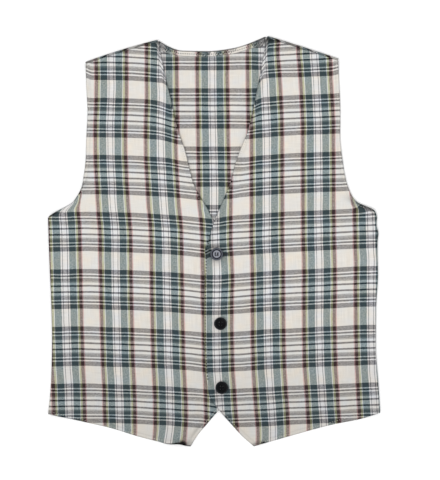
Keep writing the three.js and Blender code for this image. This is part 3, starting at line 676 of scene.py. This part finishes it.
def make_front(name, front, weave, shades, waves, finish):
    """A front from its front edge round the side fold to the seam on the underside. Shades are its places
    of painted shade, beside painted shade that deepens towards the hem, and waves move its hem up or
    down a little."""
    x, y, levels = front.grid()
    nearest = np.min([np.maximum(distance, 0) for distance in front.edge_distances(x, y)], axis=0)
    dark = (EDGE_PAINTED_SHADE * fall(nearest / EDGE_PAINTED_SHADE_REACH)
            + HEM_STEP_PAINTED_SHADE * np.exp(-((nearest - HEM_DEPTH) / HEM_STEP_WIDTH) ** 2)
            + ridges([*shades, PAINTED_SHADE_TOWARDS_HEM], x, y))
    y = y + ridges(waves, x, y)
    seam = SEAM_DIP * np.exp(-((2.0 - levels) * CHEST_TO_SHOULDER / SEAM_SOFT) ** 2)
    panel = np.stack([x, y, front.height(x, y) - seam], -1)
    fold, used_cloth = round_fold(panel[0], (front.half.sign, 0.0), FRONT_TURNS, False, SIDE_TURN_UNDER)
    fold = np.where((levels <= 1)[:, None, None], fold, panel[0][:, None, :])
    fold = fold.transpose(1, 0, 2)
    fold_place = weave(x[:1] + front.half.sign * used_cloth[:, None], np.repeat(y[:1], len(used_cloth), 0))
    cells = np.ones((len(FRONT_TURNS) + x.shape[0] - 1, x.shape[1] - 1), bool)
    cells[:len(FRONT_TURNS), np.searchsorted(levels, 1.0):] = False
    # The side fold carries painted shade, where it turns away from the light.
    fold_painted_shade = np.maximum(FOLD_PAINTED_SHADE * np.minimum(FRONT_TURNS, 0.5)[:, None] * 2, dark[:1])
    return cloth_wall(name, np.concatenate([fold, panel]), np.concatenate([fold_place, weave(x, y)]),
                      np.concatenate([fold_painted_shade, dark]), cells, finish)


RIGHT_CREAM_X = curve_through([(-268, -97.3), (-197, -99.2), (-180, -100.2), (-126, -101.6),
                               (-84, -102.6), (-21, -103.6), (18.5, -104.6), (52.5, -107.5),
                               (78, -108.9), (129, -111.1), (157, -111.3), (217, -109.6), (257, -109.8)])
RIGHT_WARP = curve_through([(-268, 71.9), (-60, 72.4), (20, 72.6), (80, 71.8), (257, 71.7)])
RIGHT_BAND_Y = 256.3
RIGHT_WEFT = 81.1
RIGHT_DROOP = curve_through([(-236, 0), (-160, 0), (-140, 0.3), (-108, 1.3), (-71, 3.9), (-34, 7.0),
                             (0, 10.0), (32, 12.2)])
RIGHT_SLACK = curve_through([(-236, 0), (-182, 0.1), (-145, 1.0), (-60, 1.0), (-30, 0.6), (32, 0.4)])
RIGHT_SLACK_DEPTH = curve_through([(-280, 0), (-230, 0.8), (-190, 1.2), (-110, 1.3), (-40, 0.7), (20, 0.2),
                                   (60, 0)])
RIGHT_ARM_PULL = (11.0, 56.0, 13.0)
ARM_PULL_REACH = 10.0
RIGHT_DRAWN_ACROSS = [(-197, -110, 90, 260, 22, 1.15), (-170, -190, 90, 75, 12, 0.8),
                      (-136, 8, 90, 25, 26, 0.8), (-34, -237, 90, 25, 12, 1.1), (-62, -292, 0, 30, 22, -4.0),
                      (-82, 232, 90, 26, 14, -1.3)]
RIGHT_DRAWN_DOWN = [(-52, -60, 90, 300, 36, -1.0), (-50, -190, 90, 62, 36, -0.6),
                    (-16, -238, 90, 34, 18, -1.7), (-222, -150, 90, 130, 16, 0.7),
                    (-180, 0, 90, 60, 20, -0.8), (-130, 252, 0, 55, 20, -1.7),
                    (-50, 150, 107, 52, 17, 5.6), (-62, 192, 107, 20, 10, 2.6),
                    (-182, 240, 90, 32, 5, -3.2)]
V_HATCH, V_HATCH_REACH, V_HATCH_START, V_HATCH_FULL = 7.0, 5.5, 205.0, 240.0
# Painted shade: shadow lines under the lifted hem by its point and by the side, shade along the armhole, a
# grey line in the crease of the cutaway, and shade at the neck point and at the top of the V edge.
RIGHT_SHADES = [(-53, -288.6, 4, 9, 1.7, 1.6), (-43, -288.2, -35, 5, 2.6, 1.4),
                (-65, -288.4, -2, 8, 1.4, 0.7), (-35, -288, -8, 6, 5, 0.25),
                (-209, -253, -14, 18, 1.9, 1.0), (-230, 37, 30, 10, 1.8, 0.8), (-190, 72, 60, 14, 1.6, 0.5),
                (-25, -268, 52, 15, 2.2, 0.16), (-72, 284, 20, 8, 5, 0.3), (-66, 268, 120, 14, 1.4, 0.5),
                (-80, 284, 110, 8, 3.2, 0.7)]
RIGHT_WAVES = [(-67, -291, 0, 9, 16, -1.1), (-49, -291, 0, 7, 14, 1.1), (-144, -264, -14, 34, 14, 2.5),
               (-224, -247, -14, 20, 10, -1.2)]
RIGHT_HEM_SAG = 4.0


def arm_pull(front, pull, x, y):
    """How far the turned and curved armhole draws the stripes inwards along its edge. Pull is the most,
    at a height on the garment, and the half height that it reaches."""
    most, pull_y, reach_y = pull
    beside = fall(front.edge_distances(x, y)[2] / ARM_PULL_REACH)
    return front.half.sign * most * beside * np.exp(-((y - pull_y) / reach_y) ** 2)


def hatch_pull(front, x, y):
    """How far the weft runs down into the turned V edge near the neck, where it shows as a fine hatch."""
    high = 1 - fall((y - V_HATCH_START) / (V_HATCH_FULL - V_HATCH_START))
    return V_HATCH * high * fall(front.edge_distances(x, y)[0] / V_HATCH_REACH)


def check_on(front, cream_x, warp, band_y, weft, droop, slack, slack_depth, down, across, pull):
    """How the check lies on a front: where one cream stripe and one band run, their repeats, and how far
    the cloth droops, hangs slack and is drawn down, across and at the armhole."""
    def weave(x, y):
        sag = droop(x) + slack(x) * slack_depth(y) + ridges(down, x, y) + hatch_pull(front, x, y)
        drawn_x = x - ridges(across, x, y) + arm_pull(front, pull, x, y)
        return np.stack([(drawn_x - cream_x(y)) / warp(y), (band_y - sag - y) / weft], -1)
    return weave


right_front = Front(right_half, RIGHT_FRONT_EDGE, RIGHT_HEM_SAG, False)
right_weave = check_on(right_front, RIGHT_CREAM_X, RIGHT_WARP, RIGHT_BAND_Y, RIGHT_WEFT, RIGHT_DROOP,
                       RIGHT_SLACK, RIGHT_SLACK_DEPTH, RIGHT_DRAWN_DOWN, RIGHT_DRAWN_ACROSS, RIGHT_ARM_PULL)
front_right = make_front("right_front", right_front, right_weave, RIGHT_SHADES, RIGHT_WAVES,
                         check_cloth("check_cloth_right", 0.92))
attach(front_right, "root")
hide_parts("front_right")

# The wearer's left front, on the viewer's right, is cut and turned the same way. It laps over the right
# front down the middle and carries the three buttonholes.
LEFT_CREAM_X = curve_through([(-261, 120.0), (-197, 115.6), (-180, 114.3), (-126, 113.4), (-84, 113.2),
                              (-30, 113.1), (-3, 112.0), (65, 111.8), (157, 111.5), (217, 109.0),
                              (240, 107.9)])
LEFT_WARP = curve_through([(-261, 73.0), (-126, 73.2), (0, 73.6), (60, 73.0), (240, 72.8)])
LEFT_BAND_Y = 261.0
LEFT_WEFT = 82.3
LEFT_DROOP = curve_through([(-14, 6.9), (6, 6.4), (38.6, 5.2), (109.6, 0.4), (150, -1.3), (183.4, -2.6),
                            (236, -4.6)])
LEFT_SLACK = curve_through([(-14, 0.8), (40, 0.8), (75, 0.5), (110, 1.2), (236, 1.2)])
LEFT_SLACK_DEPTH = curve_through([(-280, -0.6), (-223, -0.4), (-186, 0.7), (-149, 1.0), (-112, 1.2),
                                  (-38, 0.9), (35, 0.3), (80, 0)])
LEFT_ARM_PULL = (5.0, 60.0, 24.0)
LEFT_DRAWN_ACROSS = [(12, -52, 90, 34, 24, 1.9), (205, -172, 90, 36, 24, 1.0), (160, -112, 90, 26, 20, -0.7),
                     (51, -214, 90, 20, 12, -0.8), (95, -160, 90, 40, 18, 0.5), (110, 270, 0, 60, 22, -2.8),
                     (236, 0, 90, 50, 9, 1.2), (52, -278, 0, 30, 18, 1.2),
                     (-14, -60, 90, 60, 7, 2.5), (-14, -165, 90, 70, 7, 2.3)]
LEFT_DRAWN_DOWN = [(4, -50, 90, 115, 24, 1.3), (25, -258, 90, 40, 42, -1.7), (205, -50, 90, 80, 46, -1.25),
                   (150, -218, 0, 85, 24, 1.15), (110, -150, 90, 40, 30, 0.4), (82, 232, 0, 26, 20, -1.5),
                   (18, 60, 64, 75, 14, 2.2), (56, 188, 78, 35, 7, 4.2), (212, 52, -24, 18, 7, -6.0),
                   (-12, -14, 90, 14, 5, 3.4), (177, 244, 90, 26, 6, -2.0)]
# Painted shade: in the pulls beside the top button and on the lapped edge above it, a shadow round the top
# button, shadow lines under the lifted hem by its point, and shade along the side and armhole edges, at the
# neck point and at the top of the V edge.
LEFT_SHADES = [(-8, -14, 38, 6, 1.1, 0.6), (-7, -21, 20, 5, 1.0, 0.6), (-11, 2, 60, 8, 1.8, 0.35),
               (80, 287, -20, 9, 5, 0.8), (60, -288, 12, 7, 1.6, 0.5), (231, 12, 90, 34, 1.6, 0.4),
               (214, 50, -24, 20, 4, 0.7), (70, -286.8, 10, 3.4, 2.2, 1.3),
               (-8.5, 1.5, 50, 6, 2.2, 0.5), (-7, 9, 60, 5, 2, 0.5), (75, 286, 80, 7, 3.2, 0.7),
               (3, -19.6, 0, 11.5, 11, 0.5)]
LEFT_WAVES = [(212, -246, 14, 38, 14, -4.2)]
LEFT_HEM_SAG = 0.0

left_front = Front(left_half, LEFT_FRONT_EDGE, LEFT_HEM_SAG, True)
left_weave = check_on(left_front, LEFT_CREAM_X, LEFT_WARP, LEFT_BAND_Y, LEFT_WEFT, LEFT_DROOP, LEFT_SLACK,
                      LEFT_SLACK_DEPTH, LEFT_DRAWN_DOWN, LEFT_DRAWN_ACROSS, LEFT_ARM_PULL)
front_left = make_front("left_front", left_front, left_weave, LEFT_SHADES, LEFT_WAVES,
                        check_cloth("check_cloth_left", 0.92))
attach(front_left, "root")
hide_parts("front_left")

# The edges of both fronts and the neck strip are stitched down by machine: in grey thread down the V, in
# thick dark olive thread on the buttoned edge and the neck strip, and in cream thread, which hardly shows,
# at the hems and armholes. Runs are given by where they start and end, in millimetres.
STITCH_PITCH, STITCH_LENGTH, STITCH_WIDTH = 3.5, 2.3, 0.5
PLACKET_INSET, PLACKET_PITCH, PLACKET_STITCH, PLACKET_WIDTH = 2.15, 4.3, 2.7, 1.5
BAND_STITCH_RISE = 0.55
BAND_PITCH, BAND_STITCH, BAND_THREAD = 3.1, 1.8, 1.2
STITCH_WANDER = 0.09
RIGHT_V, LEFT_V, PLACKET = (36, 278), (4, 283), (-196, 2)
RIGHT_HEM, RIGHT_ARM, RIGHT_CUTAWAY = (74, 228), (42, 250), (-284, -222)
LEFT_HEM, LEFT_ARM, LEFT_CUTAWAY = (66, 228), (48, 255), (-284, -232)
EDGE_STEP, ARM_STEP = 1.5, 1.0


def thread_finish(name, colour, roughness):
    """Spun thread: fine slanting twist and small changes of tone."""
    material, tree, shader = new_finish(name)
    place = Wire(tree).node("ShaderNodeTexCoord", {}, {}, "Object")
    twist = place.node("ShaderNodeTexWave", {"wave_type": "BANDS", "bands_direction": "DIAGONAL"},
                       {"Vector": place, "Scale": 900.0, "Distortion": 1.5})
    fleck = place.node("ShaderNodeTexNoise", {}, {"Vector": place, "Scale": 700.0})
    shade = fleck * 0.5 + 0.75
    grey = place.node("ShaderNodeCombineColor", {}, {0: shade, 1: shade, 2: shade})
    tree.links.new(grey.colour_mix((*colour, 1), 1.0, "MULTIPLY").socket, shader.inputs["Base Color"])
    relief = place.node("ShaderNodeBump", {}, {"Strength": 0.5, "Distance": 0.0001, "Height": twist})
    tree.links.new(relief.socket, shader.inputs["Normal"])
    shader.inputs["Roughness"].default_value = roughness
    shader.inputs["Specular IOR Level"].default_value = 0.1
    return material


def stitching_tree():
    """A run of stitches along a line: even pitch, each a small drawn-down barrel of thread."""
    tree = bpy.data.node_groups.new("run_of_stitches", "GeometryNodeTree")
    for name, kind in (("Geometry", "Geometry"), ("Pitch", "Float"), ("Length", "Float"),
                       ("Width", "Float"), ("Turn", "Float"), ("Thread", "Material")):
        tree.interface.new_socket(name, in_out="INPUT", socket_type="NodeSocket" + kind)
    tree.interface.new_socket("Geometry", in_out="OUTPUT", socket_type="NodeSocketGeometry")
    given = tree.nodes.new("NodeGroupInput").outputs
    path, pitch, length, width, turn, thread = (Wire(tree, socket) for socket in list(given)[:6])
    start = Wire(tree)
    line = start.node("GeometryNodeMeshToCurve", {}, {"Mesh": path})
    spaced = start.node("GeometryNodeResampleCurve", {"mode": "LENGTH"}, {"Curve": line, "Length": pitch})
    barrel = start.node("GeometryNodeMeshUVSphere", {}, {"Segments": 6, "Rings": 4, "Radius": 0.5})
    tangent = start.node("GeometryNodeInputTangent", {}, {})
    aim = start.node("FunctionNodeAlignRotationToVector", {"axis": "X"}, {"Vector": tangent})
    wander = start.node("FunctionNodeRandomValue", {"data_type": "FLOAT"},
                        {2: -STITCH_WANDER, 3: STITCH_WANDER, "Seed": 7}, 1)
    turn_axis = start.node("ShaderNodeCombineXYZ", {}, {"Z": turn + wander})
    turned = start.node("FunctionNodeEulerToRotation", {}, {0: turn_axis})
    aimed = start.node("FunctionNodeRotateRotation", {"rotation_space": "LOCAL"},
                       {"Rotation": aim, "Rotate By": turned})
    size = start.node("ShaderNodeCombineXYZ", {}, {"X": length, "Y": width, "Z": width})
    sewn = start.node("GeometryNodeInstanceOnPoints", {},
                      {"Points": spaced, "Instance": barrel, "Rotation": aimed, "Scale": size})
    real = start.node("GeometryNodeRealizeInstances", {}, {"Geometry": sewn})
    finish = start.node("GeometryNodeSetMaterial", {}, {"Geometry": real, "Material": thread})
    tree.links.new(finish.socket, tree.nodes.new("NodeGroupOutput").inputs["Geometry"])
    return tree


run_of_stitches = stitching_tree()


def sew(name, runs, thread, pitch=STITCH_PITCH, length=STITCH_LENGTH, width=STITCH_WIDTH, turn=0.0):
    """Sews along each run of points, given in millimetres, and gives the stitches as one plain piece."""
    points = np.concatenate(runs) * MM
    links, start = [], 0
    for run in runs:
        links += [(i, i + 1) for i in range(start, start + len(run) - 1)]
        start += len(run)
    path = bpy.data.meshes.new(name + "_path")
    path.from_pydata(points.tolist(), links, [])
    piece = put_in_scene(name, path)
    sewing = piece.modifiers.new("stitches", "NODES")
    sewing.node_group = run_of_stitches
    sizes = {"Pitch": pitch * MM, "Length": length * MM, "Width": width * MM, "Turn": turn, "Thread": thread}
    for socket in run_of_stitches.interface.items_tree:
        if socket.in_out == "INPUT" and socket.name in sizes:
            sewing[socket.identifier] = sizes[socket.name]
    evaluated = piece.evaluated_get(bpy.context.evaluated_depsgraph_get())
    stitches = bpy.data.meshes.new_from_object(evaluated)
    stitches.name = name
    stitches.materials.clear()
    stitches.materials.append(thread)
    piece.modifiers.remove(sewing)
    piece.data = stitches
    stitches.shade_smooth()
    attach(piece, "root")
    return piece


def on_cloth(front, outward, y):
    """Points lying on a front's cloth, from their distance outwards and their height on the garment."""
    x = outward * front.half.sign
    return np.stack([x, y, front.height(x, y) + CLOTH / 2], -1)


def edge_run(front, low, high, inset=STITCH_INSET):
    y = np.arange(low, high, EDGE_STEP)
    tilt = (front.edge_x(y + 1) - front.edge_x(y - 1)) / 2
    return on_cloth(front, front.edge_x(y) + inset * np.hypot(1, tilt), y)


def armhole_run(front, low, high, inset=STITCH_INSET):
    y = np.arange(low, high, ARM_STEP)
    tilt = (front.half.armhole_x(y + 1) - front.half.armhole_x(y - 1)) / 2
    return on_cloth(front, front.half.armhole_x(y) - inset * np.hypot(1, tilt), y)


def hem_run(front, start, end, inset=STITCH_INSET):
    outward = np.arange(start, end, EDGE_STEP)
    return on_cloth(front, outward, front.hem_line_y(outward) + inset)


grey_thread = thread_finish("grey_thread", (0.30, 0.30, 0.28), 0.7)
cream_thread = thread_finish("cream_thread", (0.62, 0.60, 0.54), 0.75)
olive_thread = thread_finish("olive_thread", (0.012, 0.015, 0.008), 0.7)
right_v_stitches = sew("right_edge_stitches", [edge_run(right_front, *RIGHT_V)], grey_thread)
left_v_stitches = sew("left_edge_stitches", [edge_run(left_front, *LEFT_V)], grey_thread)
placket_stitches = sew("placket_stitches", [edge_run(left_front, *PLACKET, PLACKET_INSET)], olive_thread,
                       PLACKET_PITCH, PLACKET_STITCH, PLACKET_WIDTH)
right_hem_stitches = sew("right_hem_stitches", [
    hem_run(right_front, *RIGHT_HEM), armhole_run(right_front, *RIGHT_ARM),
    edge_run(right_front, *RIGHT_CUTAWAY)], cream_thread)
left_hem_stitches = sew("left_hem_stitches", [
    hem_run(left_front, *LEFT_HEM), armhole_run(left_front, *LEFT_ARM),
    edge_run(left_front, *LEFT_CUTAWAY)], cream_thread)
band_row = int(np.argmin(abs(band_down - BAND_STITCH_RISE)))
band_line = np.stack([band_x, band_y, band_z + CLOTH / 2], -1)[3:-3, band_row]
band_stitches = sew("neck_band_stitches", [band_line], olive_thread, BAND_PITCH, BAND_STITCH, BAND_THREAD)

# Three buttonholes run level into the left front from near its edge. Each is a slit bound on both sides
# with close dark stitches and barred across both ends.
HOLE_LENGTH = 16.5
HOLE_ENDS = [(20.1, -18.6), (17.6, -117.2), (20.9, -208.4)]
HOLE_SIDE = 0.95
HOLE_STITCH_PITCH, HOLE_STITCH_LENGTH, HOLE_STITCH_WIDTH = 0.42, 1.5, 0.45
BAR_HALF, BAR_SIDE = 1.6, 0.3
BAR_PITCH, BAR_STITCH, BAR_THREAD = 0.9, 1.2, 0.5

dark_thread = thread_finish("dark_thread", (0.022, 0.023, 0.03), 0.6)
hole_runs, bar_runs = [], []
for hole_end, hole_y in HOLE_ENDS:
    hole_x = np.linspace(hole_end - HOLE_LENGTH, hole_end, 40)
    for side in (-HOLE_SIDE, HOLE_SIDE):
        hole_runs.append(on_cloth(left_front, hole_x, hole_y + side + 0 * hole_x))
    bar_y = np.linspace(-BAR_HALF, BAR_HALF, 9)
    for bar_x in (hole_end - HOLE_LENGTH, hole_end):
        for side in (-BAR_SIDE, BAR_SIDE):
            bar_runs.append(on_cloth(left_front, bar_x + side + 0 * bar_y, hole_y + bar_y))
hole_stitches = sew("buttonhole_stitches", hole_runs, dark_thread, HOLE_STITCH_PITCH, HOLE_STITCH_LENGTH,
                    HOLE_STITCH_WIDTH, math.pi / 2)
hole_bars = sew("buttonhole_bars", bar_runs, dark_thread, BAR_PITCH, BAR_STITCH, BAR_THREAD)

# The three buttons are moulded resin with a rounded rim, a groove and a dished middle with four holes,
# sewn through to the right front. The top one has a pale worn middle; the two below are near black.
BUTTONS = [("button_top", 4.0, -18.6), ("button_middle", 9.3, -117.2), ("button_bottom", 11.2, -208.0)]
BUTTON_BASE, BUTTON_FACE = 3.9, 2.1
BUTTON_PROFILE = [(0, 0), (6.6, 0), (7.9, 0.25), (8.6, 0.75), (8.95, 1.4), (9.0, 1.9), (8.88, 2.4),
                  (8.6, 2.8), (8.2, 3.08), (7.8, 3.2), (7.45, 3.12), (7.25, 2.9), (7.05, 2.66),
                  (6.8, 2.62), (6.55, 2.72), (6.3, 2.9), (6.0, 2.95), (5.7, 2.86), (5.4, 2.62),
                  (5.1, 2.4), (4.6, 2.22), (3.8, 2.12), (2.4, BUTTON_FACE), (0, BUTTON_FACE)]
BUTTON_SIDES, DRILL_SIDES, SHARP_EDGE = 72, 20, math.radians(38)
HOLE_RADIUS, HOLE_OFFSET = 0.95, 1.8
DRILL_PROFILE = [(0, -1), (HOLE_RADIUS, -1), (HOLE_RADIUS, 2.0), (HOLE_RADIUS + 0.25, 2.2), (0, 2.2)]
# The ring colour, lighter than the groove and the rim, is a painted highlight over the top of the rim; the
# rubbed marks on the raised parts also paint glints.
DISH_EDGE, HIGHLIGHT_RING_EDGE, RIM_EDGE, WORN_AND_GLINT_FROM = (5.1, 0.4), (6.8, 0.4), (8.2, 0.6), (6.6, 0.6)


def turned_solid(name, profile, sides):
    """A closed turned form from a profile of (radius, height) that starts and ends on the axis."""
    angle = np.linspace(0, math.tau, sides, endpoint=False)
    ring = np.stack([np.cos(angle), np.sin(angle)], -1)
    middle = profile[1:-1]
    points = [(0, 0, profile[0][1])]
    for radius, height in middle:
        points += [(radius * c, radius * s, height) for c, s in ring]
    points.append((0, 0, profile[-1][1]))
    last = len(points) - 1
    faces = [(0, 1 + (i + 1) % sides, 1 + i) for i in range(sides)]
    for row in range(len(middle) - 1):
        low, high = 1 + row * sides, 1 + (row + 1) * sides
        faces += [(low + i, low + (i + 1) % sides, high + (i + 1) % sides, high + i) for i in range(sides)]
    top = 1 + (len(middle) - 1) * sides
    faces += [(last, top + i, top + (i + 1) % sides) for i in range(sides)]
    mesh = bpy.data.meshes.new(name)
    mesh.from_pydata((np.array(points) * MM).tolist(), [], faces)
    return put_in_scene(name, mesh)


def button_finish(name, middle, groove, ring, rim, wear_and_glint):
    """Moulded resin coloured in rings, with a soft mottle; the lighter ring over the top of the rim is a
    painted highlight, and the fine rubbed marks on the raised parts also paint glints.
    """
    material, tree, shader = new_finish(name)
    place = Wire(tree).node("ShaderNodeUVMap", {"uv_map": "turning"}, {})
    radius = place.node("ShaderNodeVectorMath", {"operation": "LENGTH"}, {0: place}, "Value")
    cloud = place.node("ShaderNodeTexNoise", {}, {"Vector": place, "Scale": 0.45, "Detail": 4.0})
    scratch = place.node("ShaderNodeTexNoise", {}, {"Vector": place, "Scale": 3.2, "Detail": 5.0})
    edge = radius + cloud * 0.5 - 0.25

    def step(start, width):
        return place.node("ShaderNodeMapRange", {"interpolation_type": "SMOOTHSTEP"},
                          {"Value": edge, "From Min": start, "From Max": start + width})
    dished = place.node("ShaderNodeMix", {"data_type": "RGBA"}, {
        "Factor": step(*DISH_EDGE), "A": (*middle, 1), "B": (*groove, 1)}, "Result")
    ringed_with_highlight = dished.colour_mix((*ring, 1), step(*HIGHLIGHT_RING_EDGE)).colour_mix((*rim, 1), step(*RIM_EDGE))
    worn_and_glinting = ringed_with_highlight.colour_mix((*wear_and_glint, 1), (place.math("POWER", scratch, 5.0) * step(*WORN_AND_GLINT_FROM)) * 2)
    tree.links.new(worn_and_glinting.socket, shader.inputs["Base Color"])
    tree.links.new((scratch * 0.35 + 0.16).socket, shader.inputs["Roughness"])
    relief = place.node("ShaderNodeBump", {}, {"Strength": 0.25, "Distance": 0.0003, "Height": cloud})
    tree.links.new(relief.socket, shader.inputs["Normal"])
    shader.inputs["Specular IOR Level"].default_value = 0.06
    return material


blank = turned_solid("button_blank", BUTTON_PROFILE, BUTTON_SIDES)
drills = []
for right in (-1, 1):
    for up in (-1, 1):
        drill = turned_solid("drill", DRILL_PROFILE, DRILL_SIDES)
        drill.location = (right * HOLE_OFFSET * MM, up * HOLE_OFFSET * MM, 0)
        cut = blank.modifiers.new("hole", "BOOLEAN")
        cut.operation, cut.solver, cut.object = "DIFFERENCE", "EXACT", drill
        drills.append(drill)
button_mesh = bpy.data.meshes.new_from_object(blank.evaluated_get(bpy.context.evaluated_depsgraph_get()))
for spent in [blank, *drills]:
    bpy.data.objects.remove(spent)

# The third colour of each button is a painted highlight over the top of the rim, and the fifth is rubbed
# marks that also paint glints.
pale_button = button_finish("pale_button", (0.26, 0.27, 0.31), (0.010, 0.010, 0.016),
                            (0.095, 0.105, 0.125), (0.030, 0.032, 0.042), (0.12, 0.12, 0.15))
dark_button = button_finish("dark_button", (0.003, 0.0035, 0.004), (0.002, 0.002, 0.003),
                            (0.007, 0.008, 0.010), (0.003, 0.0035, 0.0045), (0.07, 0.075, 0.085))
for name, button_x, button_y in BUTTONS:
    mesh = button_mesh.copy()
    mesh.name = name + "_moulded"
    corner = np.empty(len(mesh.loops), int)
    mesh.loops.foreach_get("vertex_index", corner)
    points = np.empty(len(mesh.vertices) * 3)
    mesh.vertices.foreach_get("co", points)
    points = points.reshape(-1, 3)
    mesh.uv_layers.new(name="turning").data.foreach_set("uv", (points[corner, :2] / MM).ravel())
    points += np.array([button_x, button_y, BUTTON_BASE]) * MM
    mesh.vertices.foreach_set("co", points.ravel())
    mesh.shade_smooth()
    mesh.set_sharp_from_angle(angle=SHARP_EDGE)
    mesh.materials.clear()
    mesh.materials.append(pale_button if name == "button_top" else dark_button)
    piece = put_in_scene(name + "_moulded", mesh)
    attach(piece, "root")
    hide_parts(name)

# Each button is sewn on with several turns of dark thread, up through one hole and down through the next.
THREAD_TURNS = [((-1, -1), (-1, 1), -0.6), ((-1, -1), (-1, 1), 0.0), ((1, -1), (1, 1), -0.9),
                ((1, -1), (1, 1), -0.3), ((1, -1), (-1, -1), 0.0), ((1, 1), (1, -1), 0.3)]
THREAD_RISE, THREAD_DIVE, THREAD_DIVE_FROM = 0.5, 0.9, 0.93
THREAD_PITCH, THREAD_TWIST, THREAD_WIDTH = 0.28, 0.6, 0.75
strands = []
for name, button_x, button_y in BUTTONS:
    for start, end, aside in THREAD_TURNS:
        t = np.linspace(0, 1, 15)
        dive = THREAD_DIVE * (abs(2 * t - 1) > THREAD_DIVE_FROM)
        lift = BUTTON_BASE + BUTTON_FACE + THREAD_RISE * np.sin(np.pi * t) ** 0.6 - dive
        strands.append(np.stack([
            button_x + HOLE_OFFSET * mix(start[0], end[0], t) + aside * (0.4 + 0.6 * np.sin(np.pi * t)),
            button_y + HOLE_OFFSET * mix(start[1], end[1], t), lift], -1))
black_thread = thread_finish("black_thread", (0.006, 0.006, 0.009), 0.6)
sew("button_thread", strands, black_thread, THREAD_PITCH, THREAD_TWIST, THREAD_WIDTH)
